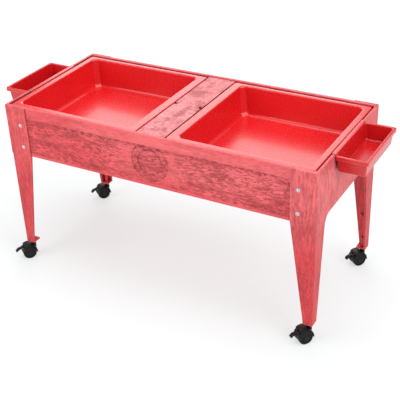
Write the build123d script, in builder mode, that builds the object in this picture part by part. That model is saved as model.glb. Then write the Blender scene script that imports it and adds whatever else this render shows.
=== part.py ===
from build123d import *

import os
from math import cos, radians, sin

# A play table for sand and water: a moulded frame on four casters, two lift-out tubs with a
# bridge between them, and a small tray hung on each end. Millimetres, +Z up, +X to the right,
# +Y to the back. The origin is on the floor, in the middle of the whole footprint.

# frame
frame_length = 1168.0
frame_width = 533.0
frame_top = 630.0
mid_y = 18.0  # the casters trail forwards, so the frame stands this far back of the origin
wall = 8.0  # moulded wall of the end frames and the aprons
corner_soften = 4.0
edge_soften = 1.5

# legs and end frames
leg_bottom = 66.0
knee_step = 1.5  # each leg stands this far inside the corner above it
flange_top_width = 86.0
flange_foot_width = 34.0
side_top_width = 82.0
side_foot_width = 37.0
arch_z = 441.0
arch_radius = 38.0
foot_size = 37.0
foot_thickness = 5.0
web_z = 196.0  # stiffening web inside each leg
web_size = 34.0
web_thickness = 4.0
web_overlap = 1.0  # into the wall

# aprons
apron_bottom = 444.0
apron_pad = 4.0  # between the flanges the wall is thicker, and stands nearly level with them
apron_pad_half = 497.5
apron_skirt = 12.0
apron_skirt_thickness = 6.0
ledge_z = 617.0  # the tubs rest on this level
ledge_depth = 15.0
ledge_thickness = 8.0
rib_thickness = 5.0
rib_places = (-470.0, -320.0, -170.0, 170.0, 320.0, 470.0)
panel_half = 486.0
panel_bottom = 455.0
panel_top = 591.0
panel_recess = 1.0
disc_radius = 72.0
disc_z = 533.0
disc_groove = 4.0

# bolts through the flanges and the aprons
bolt_x = 524.0
bolt_heights = (478.5, 561.0)
bolt_size = 6.0
bolt_hole = 6.6
bolt_head = 13.0
bolt_head_height = 4.0
bolt_crown_round = 3.6
washer_size = 16.0
washer_thickness = 1.2
nut_size = 10.0
nut_thickness = 5.0
bolt_spare = 2.5  # thread past the nut

# bridge between the tubs
bridge_half = 53.0
bridge_top = 627.0
bridge_thickness = 8.0
plate_clearance = 0.5  # to the apron at each end
notch_width = 14.0
notch_depth = 12.0
brim_notch_width = 22.0  # under the plate's notch, so that a finger reaches the tub's rim
brim_notch_reach = 72.0
beam_half = 40.0
beam_wall = 4.0
beam_bottom = 560.0
brim_half = 82.0
brim_thickness = 6.0
brim_clearance = 0.5  # beside the beam and its brims, on the aprons
screw_size = 4.0
screw_head = 8.0
screw_head_height = 2.4
screw_hole_depth = 6.0  # in the plate
screw_bite = 5.6
beam_screw_reach = 13.5
beam_screw_x = 68.0
beam_screw_inset = 8.0
plate_screw_x = 24.0
plate_screw_y = 170.0

# tubs
rim_top = 627.0
rim_drop = 9.6  # the lip ends just above the ledges
sheet = 4.0
rim_corner = 9.0
tub_seam = 4.0  # beside the bridge
tub_end_gap = 6.0  # beside the end frames, where the tray hooks go
tub_front_gap = 1.5
tub_rear_gap = 7.5
bridge_rim = 33.0
end_rim = 23.0
front_rim = 23.0
tub_floor = 522.0
tub_corner = 26.0
tub_draft = 13.0  # how far each wall leans in from rim to floor
tub_floor_round = 14.0

# trays
tray_rim_top = 624.0
tray_reach = 106.0  # from the end frame's outer face to the tray's outer edge
tray_half = 133.0
tray_rim = 9.0
tray_lip = 13.0
tray_sheet = 3.0
tray_gap = 1.0
tray_floor = 569.0
tray_draft = 5.0
tray_corner = 8.0
tray_floor_round = 5.0
hook_clearance = 0.6
hook_sheet = 3.4
hook_drop = 12.0
hook_half = 129.0
hook_play = 1.0  # at each end of the recess the hook lies in

# casters
stem_inset_x = 18.0
stem_inset_y = 18.5
trail = (-0.6, -0.8)  # the way each caster trails, seen from above
trail_offset = 22.0
wheel_radius = 25.0
wheel_width = 17.5
wheel_gap = 5.0  # from the middle of the caster to a wheel's inner face
wheel_bore = 3.05
axle_radius = 3.0
axle_half = 21.0
axle_end_clearance = 0.5
hub_radius = 8.0
hub_recess = 2.5
tyre_inner = 19.5
tyre_round = 3.0
hood_web = 8.0
hood_web_radius = 23.0
hood_inner = 26.5
hood_outer = 29.5
hood_half = 21.0
hood_start = 52.0  # degrees above level on the trailing side
hood_end = 188.0
stem_radius = 4.0
stem_bore = 4.05
boss_radius = 9.0
boss_bottom = 38.0
boss_top = 63.5
boss_clearance = 0.5
stem_bottom = 50.0
stem_flange = 8.0
stem_top = 101.0
stem_end_clearance = 1.0
socket_radius = 8.0
socket_neck = 6.0
socket_top = 105.0
lever_pin_radius = 1.5
lever_pin_bore = 1.55
lever_pin_half = 10.0
lever_knuckle = 3.6
lever_pivot_reach = 30.5  # from the axle to the lever's pin
lever_pivot_angle = 38.0
lever_half = 5.5
lever_clearance = 0.5
lever_top = ((45.0, 47.2), (58.0, 45.0), (66.0, 41.0), (71.5, 33.0))  # along the trail, height
lever_bottom = ((44.0, 40.8), (55.0, 38.5), (62.0, 36.5), (67.5, 32.0))
ear_foot = 0.07  # share of the hood's arc the ears stand on
ear_width = 3.5
ear_radius = 4.0

front_y = mid_y - frame_width / 2
rear_y = mid_y + frame_width / 2
end_x = frame_length / 2
hands = ((-1, "left"), (1, "right"))
ends = ((-1, "front"), (1, "rear"))

os.makedirs("parts", exist_ok=True)


def write(part, name):
    part.label = name
    export_step(part, f"parts/{name}.step")


# End frames: one moulding each, an arched end panel with two open L-shaped legs.
for side, hand in hands:
    outer_x = side * end_x
    inner_x = outer_x - side * wall
    leg_y = (front_y, rear_y)
    with BuildPart() as end_frame:
        with BuildSketch(Plane.YZ.offset(outer_x)) as arch:
            with BuildLine():
                Polyline(
                    (front_y, leg_bottom),
                    (front_y, frame_top),
                    (rear_y, frame_top),
                    (rear_y, leg_bottom),
                    (rear_y - side_foot_width, leg_bottom),
                    (rear_y - side_top_width, arch_z),
                    (front_y + side_top_width, arch_z),
                    (front_y + side_foot_width, leg_bottom),
                    close=True,
                )
            make_face()
            fillet([v for v in arch.vertices() if abs(v.Y - arch_z) < 0.1], arch_radius)
        extrude(amount=-side * wall)
        for end, face_y in zip((-1, 1), leg_y):
            with BuildSketch(Plane.XZ.offset(-face_y)):
                with BuildLine():
                    Polyline(
                        (outer_x, leg_bottom),
                        (outer_x, frame_top),
                        (outer_x - side * flange_top_width, frame_top),
                        (outer_x - side * flange_top_width, apron_bottom),
                        (outer_x - side * flange_foot_width, leg_bottom),
                        close=True,
                    )
                make_face()
            extrude(amount=end * wall)
            # foot plate and mid-leg web
            with BuildSketch(Plane.XY.offset(leg_bottom)):
                with Locations((outer_x - side * foot_size / 2, face_y - end * foot_size / 2)):
                    Rectangle(foot_size, foot_size)
            extrude(amount=foot_thickness)
            with BuildSketch(Plane.XY.offset(web_z)):
                with BuildLine():
                    Polyline(
                        (inner_x + side * web_overlap, face_y - end * (wall - web_overlap)),
                        (inner_x - side * web_size, face_y - end * (wall - web_overlap)),
                        (inner_x + side * web_overlap, face_y - end * (wall + web_size)),
                        close=True,
                    )
                make_face()
            extrude(amount=web_thickness)
        # ledge under the tub's end rim
        with BuildSketch(Plane.XY.offset(ledge_z)):
            with Locations((inner_x - side * ledge_depth / 2, mid_y)):
                Rectangle(ledge_depth, frame_width - 4 * wall)
        extrude(amount=-ledge_thickness)
        # the tray's hook lies in this recess, level with the frame's top
        with BuildSketch(Plane.XY.offset(frame_top)):
            with Locations((outer_x - side * wall / 2, mid_y)):
                Rectangle(wall, 2 * (hook_half + hook_play))
        extrude(amount=-hook_sheet - hook_clearance, mode=Mode.SUBTRACT)
        # the legs below the knee stand a little inside the upper corner
        with BuildSketch(Plane.XY.offset(leg_bottom)):
            with Locations((outer_x, mid_y)):
                Rectangle(2 * knee_step, frame_width)
            with Locations((outer_x - side * flange_top_width / 2, front_y),
                           (outer_x - side * flange_top_width / 2, rear_y)):
                Rectangle(flange_top_width, 2 * knee_step)
        extrude(amount=arch_z - leg_bottom, mode=Mode.SUBTRACT)
        # bolt holes, right through both flanges
        with BuildSketch(Plane.XZ.offset(-front_y)):
            with Locations(*[(side * bolt_x, z) for z in bolt_heights]):
                Circle(bolt_hole / 2)
        extrude(amount=-frame_width, mode=Mode.SUBTRACT)
        # stem holes in the foot plates
        with BuildSketch(Plane.XY.offset(leg_bottom)):
            with Locations((outer_x - side * stem_inset_x, front_y + stem_inset_y),
                           (outer_x - side * stem_inset_x, rear_y - stem_inset_y)):
                Circle(socket_neck)
        extrude(amount=foot_thickness, mode=Mode.SUBTRACT)
        upright = [
            e for e in end_frame.edges().filter_by(Axis.Z)
            if abs(e.center().X) > end_x - 2 * knee_step
            and min(abs(e.center().Y - front_y), abs(e.center().Y - rear_y)) < 2 * knee_step
        ]
        fillet(upright, corner_soften)
    write(end_frame.part, f"{hand}_end_frame")

# Aprons: the same moulding front and back, turned round.
for end, hand in ends:
    inward = -end
    face_y = mid_y + end * (frame_width / 2 - wall)
    pad_y = face_y + end * apron_pad
    back_y = face_y + inward * wall
    apron_length = frame_length - 2 * wall
    ledge_mid_y = back_y + inward * ledge_depth / 2
    step_z = ledge_z - brim_thickness
    with BuildPart() as apron:
        with BuildSketch(Plane.YZ):
            with BuildLine():
                Polyline(
                    (face_y, apron_bottom),
                    (face_y, frame_top),
                    (back_y, frame_top),
                    (back_y, ledge_z),
                    (back_y + inward * ledge_depth, ledge_z),
                    (back_y + inward * ledge_depth, ledge_z - ledge_thickness),
                    (back_y, ledge_z - ledge_thickness),
                    (back_y, apron_bottom + apron_skirt_thickness),
                    (back_y + inward * apron_skirt, apron_bottom + apron_skirt_thickness),
                    (back_y + inward * apron_skirt, apron_bottom),
                    close=True,
                )
            make_face()
        extrude(amount=apron_length / 2, both=True)
        with BuildSketch(Plane.XZ.offset(-face_y)):
            with Locations((0, (apron_bottom + frame_top) / 2)):
                Rectangle(2 * apron_pad_half, frame_top - apron_bottom)
        extrude(amount=-end * apron_pad)
        # room for the end frames' ledges at both ends
        for side in (-1, 1):
            with BuildSketch(Plane.XY.offset(ledge_z)):
                with Locations((side * (end_x - wall - ledge_depth / 2), ledge_mid_y)):
                    Rectangle(ledge_depth, ledge_depth)
            extrude(amount=-ledge_thickness, mode=Mode.SUBTRACT)
        # the ledge steps down in the middle to carry the bridge beam
        with BuildSketch(Plane.XY.offset(ledge_z)):
            with Locations((0, ledge_mid_y)):
                Rectangle(2 * (brim_half + brim_clearance), ledge_depth)
        extrude(amount=-brim_thickness, mode=Mode.SUBTRACT)
        with BuildSketch(Plane.XY.offset(step_z)):
            with Locations((0, ledge_mid_y)):
                Rectangle(2 * (brim_half + brim_clearance + rib_thickness), ledge_depth)
                Rectangle(2 * (beam_half + brim_clearance), ledge_depth, mode=Mode.SUBTRACT)
        extrude(amount=-ledge_thickness)
        with BuildSketch(Plane.XY.offset(step_z - ledge_thickness)):
            with Locations((0, ledge_mid_y)):
                Rectangle(2 * (beam_half + brim_clearance), ledge_depth)
        extrude(amount=brim_thickness + ledge_thickness, mode=Mode.SUBTRACT)
        # ribs between the skirt and the ledge
        with BuildSketch(Plane.XY.offset(apron_bottom + apron_skirt_thickness)):
            with Locations(*[(x, back_y + inward * apron_skirt / 2) for x in rib_places]):
                Rectangle(rib_thickness, apron_skirt)
        extrude(amount=ledge_z - ledge_thickness - apron_bottom - apron_skirt_thickness)
        # recessed panel on the outside, with a raised disc in its middle
        with BuildSketch(Plane.XZ.offset(-pad_y)):
            with Locations((0, (panel_bottom + panel_top) / 2)):
                Rectangle(2 * panel_half, panel_top - panel_bottom)
            with Locations((0, disc_z)):
                Circle(disc_radius, mode=Mode.SUBTRACT)
                Circle(disc_radius - disc_groove)
                Circle(disc_radius - 2 * disc_groove, mode=Mode.SUBTRACT)
        extrude(amount=end * panel_recess, mode=Mode.SUBTRACT)
        with BuildSketch(Plane.XZ.offset(-face_y)):
            with Locations(*[(side * bolt_x, z) for side in (-1, 1) for z in bolt_heights]):
                Circle(bolt_hole / 2)
        extrude(amount=end * wall, mode=Mode.SUBTRACT)
        with BuildSketch(Plane.XY.offset(step_z)):
            with Locations(*[(i * beam_screw_x, back_y + inward * beam_screw_inset) for i in (-1, 1)]):
                Circle(screw_size / 2)
        extrude(amount=-ledge_thickness, mode=Mode.SUBTRACT)
    write(apron.part, f"{hand}_apron")

# Bridge beam: a channel with brims, which carries the bridge plate and the tubs' inner rims.
beam_length = frame_width - 4 * wall
beam_top = bridge_top - bridge_thickness
brim_bottom = ledge_z - brim_thickness
with BuildPart() as bridge_beam:
    with BuildSketch(Plane.XZ):
        with BuildLine():
            Polyline(
                (beam_half, beam_bottom),
                (beam_half, brim_bottom),
                (brim_half, brim_bottom),
                (brim_half, ledge_z),
                (beam_half, ledge_z),
                (beam_half, beam_top),
                (-beam_half, beam_top),
                (-beam_half, ledge_z),
                (-brim_half, ledge_z),
                (-brim_half, brim_bottom),
                (-beam_half, brim_bottom),
                (-beam_half, beam_bottom),
                (beam_wall - beam_half, beam_bottom),
                (beam_wall - beam_half, beam_top - beam_wall),
                (beam_half - beam_wall, beam_top - beam_wall),
                (beam_half - beam_wall, beam_bottom),
                close=True,
            )
        make_face()
    extrude(amount=beam_length / 2, both=True)
    with BuildSketch(Plane.XY.offset(ledge_z)):
        Rectangle(2 * brim_notch_reach, brim_notch_width)
        Rectangle(2 * beam_half, brim_notch_width, mode=Mode.SUBTRACT)
    extrude(amount=-brim_thickness, mode=Mode.SUBTRACT)
    with BuildSketch(Plane.XY.offset(ledge_z)):
        with Locations(*[(i * beam_screw_x, j * (beam_length / 2 - beam_screw_inset))
                         for i in (-1, 1) for j in (-1, 1)]):
            Circle(screw_size / 2)
    extrude(amount=-brim_thickness, mode=Mode.SUBTRACT)
    with BuildSketch(Plane.XY.offset(beam_top)):
        with Locations(*[(i * plate_screw_x, j * plate_screw_y) for i in (-1, 1) for j in (-1, 1)]):
            Circle(screw_size / 2)
    extrude(amount=-beam_wall, mode=Mode.SUBTRACT)
write(bridge_beam.part.moved(Location((0, mid_y, 0))), "bridge_beam")

# Bridge plate: a flat board with a finger notch in the middle of each long edge.
with BuildPart() as bridge_plate:
    with BuildSketch(Plane.XY.offset(bridge_top)):
        with Locations((0, mid_y)):
            Rectangle(2 * bridge_half, beam_length - 2 * plate_clearance)
        with Locations((-bridge_half, mid_y), (bridge_half, mid_y)):
            Rectangle(2 * notch_depth, notch_width, mode=Mode.SUBTRACT)
    extrude(amount=-bridge_thickness)
    with BuildSketch(Plane.XY.offset(beam_top)):
        with Locations(*[(i * plate_screw_x, mid_y + j * plate_screw_y)
                         for i in (-1, 1) for j in (-1, 1)]):
            Circle(screw_size / 2)
    extrude(amount=screw_hole_depth, mode=Mode.SUBTRACT)
    fillet(bridge_plate.faces().sort_by(Axis.Z)[-1].edges(), edge_soften)
write(bridge_plate.part, "bridge_plate")


def basin(middle, length, width, corner, lean, top_z, floor_z, floor_round):
    """A block with rounded corners and leaning sides, rounded along its floor."""
    with BuildPart() as block:
        with BuildSketch(Plane.XY.offset(top_z)):
            with Locations((middle, mid_y)):
                RectangleRounded(length, width, corner)
        with BuildSketch(Plane.XY.offset(floor_z)):
            with Locations((middle, mid_y)):
                RectangleRounded(length - 2 * lean, width - 2 * lean, corner)
        loft()
        fillet(block.faces().sort_by(Axis.Z)[0].edges(), floor_round)
    return block.part


# Tubs: one sheet each, with a flat rim, a turned-down lip and leaning walls.
for side, hand in hands:
    rim_near = side * (bridge_half + tub_seam)
    rim_far = side * (end_x - wall - tub_end_gap)
    rim_mid = (rim_near + rim_far) / 2
    rim_length = abs(rim_far - rim_near)
    rim_front = front_y + 2 * wall + tub_front_gap
    rim_back = rear_y - 2 * wall - tub_rear_gap
    rim_mid_y = (rim_front + rim_back) / 2
    rim_width = rim_back - rim_front
    open_length = rim_length - bridge_rim - end_rim
    open_width = 2 * (mid_y - rim_front - front_rim)
    open_mid = rim_mid + side * (bridge_rim - end_rim) / 2
    tub_outside = basin(
        open_mid, open_length + 2 * sheet, open_width + 2 * sheet, tub_corner + sheet,
        tub_draft, rim_top, tub_floor - sheet, tub_floor_round + sheet,
    )
    tub_inside = basin(
        open_mid, open_length, open_width, tub_corner,
        tub_draft, rim_top, tub_floor, tub_floor_round,
    )
    with BuildPart() as tub:
        with BuildSketch(Plane.XY.offset(rim_top)):
            with Locations((rim_mid, rim_mid_y)):
                RectangleRounded(rim_length, rim_width, rim_corner)
        extrude(amount=-rim_drop)
        fillet(tub.faces().sort_by(Axis.Z)[-1].edges(), edge_soften)
        with BuildSketch(Plane.XY.offset(rim_top - sheet)):
            with Locations((rim_mid, rim_mid_y)):
                RectangleRounded(rim_length - 2 * sheet, rim_width - 2 * sheet, rim_corner - sheet)
        extrude(amount=sheet - rim_drop, mode=Mode.SUBTRACT)
        add(tub_outside)
        add(tub_inside, mode=Mode.SUBTRACT)
    write(tub.part, f"{hand}_tub")

# Trays: a small basin with a turned-down lip, and a hook along its inner side over the end frame.
for side, hand in hands:
    near_x = side * (end_x + tray_gap)
    far_x = side * (end_x + tray_reach)
    tray_mid = (near_x + far_x) / 2
    tray_length = abs(far_x - near_x)
    basin_mid = (near_x + far_x - side * (tray_rim - tray_sheet)) / 2
    basin_length = tray_length - tray_rim + tray_sheet
    basin_width = 2 * (tray_half - tray_rim + tray_sheet)
    hook_inner = side * (end_x - wall - hook_clearance - hook_sheet)
    hook_under = frame_top - hook_sheet
    tray_outside = basin(
        basin_mid, basin_length, basin_width, tray_corner + tray_sheet,
        tray_draft, tray_rim_top, tray_floor - tray_sheet, tray_floor_round + tray_sheet,
    )
    tray_inside = basin(
        basin_mid, basin_length - 2 * tray_sheet, basin_width - 2 * tray_sheet, tray_corner,
        tray_draft, tray_rim_top, tray_floor, tray_floor_round,
    )
    with BuildPart() as tray:
        with BuildSketch(Plane.XY.offset(tray_rim_top)):
            with Locations((tray_mid, mid_y)):
                RectangleRounded(tray_length, 2 * tray_half, tray_sheet)
        extrude(amount=-tray_lip)
        with BuildSketch(Plane.XY.offset(tray_rim_top - tray_sheet)):
            with Locations((tray_mid - side * tray_sheet / 2, mid_y)):
                Rectangle(tray_length - tray_sheet, 2 * (tray_half - tray_sheet))
        extrude(amount=tray_sheet - tray_lip, mode=Mode.SUBTRACT)
        with BuildSketch(Plane.XZ.offset(-mid_y)):
            with BuildLine():
                Polyline(
                    (near_x, tray_rim_top - tray_sheet),
                    (near_x, hook_under),
                    (hook_inner + side * hook_sheet, hook_under),
                    (hook_inner + side * hook_sheet, frame_top - hook_drop),
                    (hook_inner, frame_top - hook_drop),
                    (hook_inner, frame_top),
                    (near_x + side * hook_sheet, frame_top),
                    (near_x + side * hook_sheet, tray_rim_top - tray_sheet),
                    close=True,
                )
            make_face()
        extrude(amount=hook_half, both=True)
        add(tray_outside)
        add(tray_inside, mode=Mode.SUBTRACT)
    write(tray.part, f"{hand}_tray")

# Bolts, washers and nuts that hold the end frames to the aprons.
bolt_reach = 2 * wall + washer_thickness + nut_thickness + bolt_spare
bolt_places = [(side * bolt_x, z) for side in (-1, 1) for z in bolt_heights]
with BuildPart() as apron_bolts:
    for end, hand in ends:
        face_y = mid_y + end * frame_width / 2
        with BuildSketch(Plane.XZ.offset(-face_y)):
            with Locations(*bolt_places):
                Circle(bolt_size / 2)
        extrude(amount=end * bolt_reach)
        with BuildSketch(Plane.XZ.offset(-face_y)):
            with Locations(*bolt_places):
                Circle(bolt_head / 2)
        extrude(amount=-end * bolt_head_height)
        crowns = apron_bolts.faces().sort_by(Axis.Y if end < 0 else -Axis.Y)[:len(bolt_places)]
        fillet(crowns.edges(), bolt_crown_round)
write(apron_bolts.part, "apron_bolts")

with BuildPart() as apron_washers:
    for end, hand in ends:
        face_y = mid_y + end * (frame_width / 2 - 2 * wall)
        with BuildSketch(Plane.XZ.offset(-face_y)):
            with Locations(*bolt_places):
                Circle(washer_size / 2)
                Circle(bolt_hole / 2, mode=Mode.SUBTRACT)
        extrude(amount=end * washer_thickness)
write(apron_washers.part, "apron_washers")

with BuildPart() as apron_nuts:
    for end, hand in ends:
        face_y = mid_y + end * (frame_width / 2 - 2 * wall - washer_thickness)
        with BuildSketch(Plane.XZ.offset(-face_y)):
            with Locations(*bolt_places):
                RegularPolygon(nut_size / 2, 6, major_radius=False)
                Circle(bolt_size / 2, mode=Mode.SUBTRACT)
        extrude(amount=end * nut_thickness)
write(apron_nuts.part, "apron_nuts")

# Screws from below: two at each end of the beam, and four into the bridge plate.
with BuildPart() as beam_screws:
    under_shelf = ledge_z - brim_thickness - ledge_thickness
    screw_y = beam_length / 2 - beam_screw_inset
    spots = [(i * beam_screw_x, mid_y + j * screw_y) for i in (-1, 1) for j in (-1, 1)]
    with BuildSketch(Plane.XY.offset(under_shelf)):
        with Locations(*spots):
            Circle(screw_size / 2)
    extrude(amount=beam_screw_reach)
    with BuildSketch(Plane.XY.offset(under_shelf)):
        with Locations(*spots):
            Circle(screw_head / 2)
    extrude(amount=-screw_head_height)
write(beam_screws.part, "beam_screws")

with BuildPart() as plate_screws:
    under_web = beam_top - beam_wall
    spots = [(i * plate_screw_x, mid_y + j * plate_screw_y) for i in (-1, 1) for j in (-1, 1)]
    with BuildSketch(Plane.XY.offset(under_web)):
        with Locations(*spots):
            Circle(screw_size / 2)
    extrude(amount=beam_wall + screw_bite)
    with BuildSketch(Plane.XY.offset(under_web)):
        with Locations(*spots):
            Circle(screw_head / 2)
    extrude(amount=-screw_head_height)
write(plate_screws.part, "plate_screws")

# Casters. Each one is built in its own frame: u along the way it trails, v along its axle.
trail_dir = Vector(trail[0], trail[1], 0).normalized()
axle_dir = Vector(trail_dir.Y, -trail_dir.X, 0)
stem_x = end_x - stem_inset_x
stem_y = frame_width / 2 - stem_inset_y
corners = [
    (end_hand[0] + side_hand[0], side * stem_x, mid_y + end * stem_y)
    for end, end_hand in ends
    for side, side_hand in hands
]
pivot_u = trail_offset + lever_pivot_reach * cos(radians(lever_pivot_angle))
pivot_z = wheel_radius + lever_pivot_reach * sin(radians(lever_pivot_angle))

with BuildPart() as stem_sockets:
    for corner, x, y in corners:
        with BuildSketch(Plane.XY.offset(leg_bottom)):
            with Locations((x, y)):
                Circle(socket_neck)
        extrude(amount=foot_thickness)
        with BuildSketch(Plane.XY.offset(leg_bottom + foot_thickness)):
            with Locations((x, y)):
                Circle(socket_radius)
        extrude(amount=socket_top - leg_bottom - foot_thickness)
        with BuildSketch(Plane.XY.offset(leg_bottom)):
            with Locations((x, y)):
                Circle(stem_radius)
        extrude(amount=stem_top + stem_end_clearance - leg_bottom, mode=Mode.SUBTRACT)
write(stem_sockets.part, "stem_sockets")

for corner, x, y in corners:
    seen_from_side = Plane(origin=(x, y, 0), x_dir=trail_dir, z_dir=axle_dir)
    hub = (trail_offset, wheel_radius)

    with BuildPart() as stem:
        with BuildSketch(Plane.XY.offset(stem_bottom)):
            with Locations((x, y)):
                Circle(stem_radius)
        extrude(amount=stem_top - stem_bottom)
        fillet(stem.faces().sort_by(Axis.Z)[-1].edges(), stem_radius / 2)
        with BuildSketch(Plane.XY.offset(boss_top + boss_clearance)):
            with Locations((x, y)):
                Circle(stem_flange)
        extrude(amount=leg_bottom - boss_top - boss_clearance)
    write(stem.part, f"{corner}_caster_stem")

    with BuildPart() as hood:
        # boss for the stem, cut back to clear the wheels
        with BuildSketch(Plane.XY.offset(boss_bottom)):
            with Locations((x, y)):
                Circle(boss_radius)
        extrude(amount=boss_top - boss_bottom)
        with BuildSketch(seen_from_side):
            with Locations(hub):
                Circle(hood_inner)
        extrude(amount=hood_half, both=True, mode=Mode.SUBTRACT)
        # shell over the wheels
        with BuildSketch(seen_from_side):
            with BuildLine():
                inner = CenterArc(hub, hood_inner, hood_start, hood_end - hood_start)
                outer = CenterArc(hub, hood_outer, hood_start, hood_end - hood_start)
                Line(inner @ 0, outer @ 0)
                Line(inner @ 1, outer @ 1)
            make_face()
        extrude(amount=hood_half, both=True)
        # web between the wheels, up to the shell
        with BuildSketch(seen_from_side):
            with Locations(hub):
                Circle(hood_web_radius)
            with BuildLine():
                rim = CenterArc(hub, hood_inner + 1, hood_start, hood_end - hood_start)
                Line(rim @ 0, hub)
                Line(hub, rim @ 1)
            make_face()
        extrude(amount=hood_web / 2, both=True)
        # ears for the lever's pin
        for ear in (-1, 1):
            with BuildSketch(seen_from_side.offset(ear * (lever_half + lever_clearance))):
                with Locations((pivot_u, pivot_z)):
                    Circle(ear_radius)
                with BuildLine():
                    Polyline(
                        (pivot_u - ear_radius, pivot_z),
                        (pivot_u + ear_radius, pivot_z),
                        outer @ 0,
                        inner @ ear_foot,
                        close=True,
                    )
                make_face()
            extrude(amount=ear * ear_width)
        # holes for the stem, the axle and the lever's pin
        with BuildSketch(Plane.XY.offset(stem_bottom - boss_clearance)):
            with Locations((x, y)):
                Circle(stem_bore)
        extrude(amount=boss_top - stem_bottom + boss_clearance, mode=Mode.SUBTRACT)
        with BuildSketch(seen_from_side):
            with Locations(hub):
                Circle(axle_radius)
            with Locations((pivot_u, pivot_z)):
                Circle(lever_pin_radius)
        extrude(amount=hood_half, both=True, mode=Mode.SUBTRACT)
    write(hood.part, f"{corner}_caster_hood")

    with BuildPart() as axle:
        with BuildSketch(seen_from_side):
            with Locations(hub):
                Circle(axle_radius)
        extrude(amount=axle_half, both=True)
    write(axle.part, f"{corner}_caster_axle")

    for face, hand in ((-1, "left"), (1, "right")):
        with BuildPart() as wheel:
            with BuildSketch(seen_from_side.offset(face * wheel_gap)):
                with Locations(hub):
                    Circle(wheel_radius)
            extrude(amount=face * wheel_width)
            fillet(wheel.edges().filter_by(GeomType.CIRCLE), tyre_round)
            # dished outer face with a hub standing in it
            with BuildSketch(seen_from_side.offset(face * (wheel_gap + wheel_width))):
                with Locations(hub):
                    Circle(tyre_inner)
                    Circle(hub_radius, mode=Mode.SUBTRACT)
            extrude(amount=-face * hub_recess, mode=Mode.SUBTRACT)
            with BuildSketch(seen_from_side.offset(face * wheel_gap)):
                with Locations(hub):
                    Circle(wheel_bore)
            extrude(amount=face * (axle_half + axle_end_clearance - wheel_gap), mode=Mode.SUBTRACT)
        write(wheel.part, f"{corner}_caster_wheel_{hand}")

    with BuildPart() as lever:
        with BuildSketch(seen_from_side):
            with Locations((pivot_u, pivot_z)):
                Circle(lever_knuckle)
            with BuildLine():
                top = Spline(*lever_top)
                bottom = Spline(*lever_bottom)
                Line(top @ 0, bottom @ 0)
                Line(top @ 1, bottom @ 1)
            make_face()
        extrude(amount=lever_half, both=True)
        with BuildSketch(seen_from_side):
            with Locations((pivot_u, pivot_z)):
                Circle(lever_pin_bore)
        extrude(amount=lever_half, both=True, mode=Mode.SUBTRACT)
    write(lever.part, f"{corner}_caster_brake_lever")

    with BuildPart() as lever_pin:
        with BuildSketch(seen_from_side):
            with Locations((pivot_u, pivot_z)):
                Circle(lever_pin_radius)
        extrude(amount=lever_pin_half, both=True)
    write(lever_pin.part, f"{corner}_caster_lever_pin")
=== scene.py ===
import math

import bmesh
import bpy
from mathutils import Matrix, Vector, noise


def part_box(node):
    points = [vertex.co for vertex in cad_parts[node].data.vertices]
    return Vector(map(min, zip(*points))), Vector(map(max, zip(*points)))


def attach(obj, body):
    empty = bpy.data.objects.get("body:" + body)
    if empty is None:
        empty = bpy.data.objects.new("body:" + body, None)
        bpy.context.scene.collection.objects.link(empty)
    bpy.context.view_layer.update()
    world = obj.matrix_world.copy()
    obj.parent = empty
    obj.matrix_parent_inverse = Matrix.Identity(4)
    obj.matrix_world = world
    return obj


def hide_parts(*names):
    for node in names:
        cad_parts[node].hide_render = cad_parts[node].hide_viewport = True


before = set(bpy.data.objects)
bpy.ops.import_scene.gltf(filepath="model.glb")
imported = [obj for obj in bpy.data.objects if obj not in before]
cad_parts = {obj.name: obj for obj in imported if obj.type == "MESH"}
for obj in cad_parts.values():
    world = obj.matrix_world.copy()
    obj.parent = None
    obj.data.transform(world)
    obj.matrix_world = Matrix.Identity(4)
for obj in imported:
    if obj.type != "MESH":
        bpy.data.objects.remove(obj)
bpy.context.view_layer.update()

# A play table for sand and water: a marbled plastic frame on four casters, two glossy tubs
# with a bridge between them, and a small tray hooked on each end.

scene = bpy.context.scene
mm = 0.001
samePlace = 0.01 * mm
slack = 0.1 * mm
mergeWithin = 2e-6  # points closer than this become one
hands = ((-1, "left"), (1, "right"))
ends = ((-1, "front"), (1, "rear"))
casterCorners = ("fl", "fr", "rl", "rr")

frameLow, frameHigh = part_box("right_end_frame")
endX = frameHigh.x  # outer face of the end frames
frontY, rearY = frameLow.y, frameHigh.y
midY = (frontY + rearY) / 2
frameTop = frameHigh.z
footZ = frameLow.z
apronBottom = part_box("front_apron")[0].z
print("frame loaded with", len(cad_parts), "nodes")


def tone(code):  # "#rrggbb" as seen on a screen, made linear
    parts = [int(code[i:i + 2], 16) / 255 for i in (1, 3, 5)]
    return tuple(c / 12.92 if c <= 0.04045 else ((c + 0.055) / 1.055) ** 2.4 for c in parts) + (1.0,)


def plug(tree, socket, value):
    if isinstance(value, bpy.types.NodeSocket):
        tree.links.new(value, socket)
    else:
        socket.default_value = value


def addNode(tree, kind, inputs=None, **settings):
    node = tree.nodes.new(kind)
    for key, value in settings.items():
        setattr(node, key, value)
    for key, value in (inputs or {}).items():
        plug(tree, node.inputs[key], value)
    return node


def calc(tree, operation, *values):
    node = addNode(tree, "ShaderNodeMath", operation=operation)
    for socket, value in zip(node.inputs, values):
        plug(tree, socket, value)
    return node.outputs[0]


def times(tree, *values):
    return calc(tree, "MULTIPLY", *values)


def remap(tree, value, low, high, toLow=0.0, toHigh=1.0):
    inputs = {"Value": value, "From Min": low, "From Max": high, "To Min": toLow, "To Max": toHigh}
    return addNode(tree, "ShaderNodeMapRange", inputs, interpolation_type="SMOOTHSTEP").outputs["Result"]


def mixTone(tree, amount, first, second, blend="MIX"):
    node = addNode(tree, "ShaderNodeMix", data_type="RGBA", blend_type=blend)
    for index, value in ((0, amount), (6, first), (7, second)):
        plug(tree, node.inputs[index], value)
    return node.outputs[2]


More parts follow.
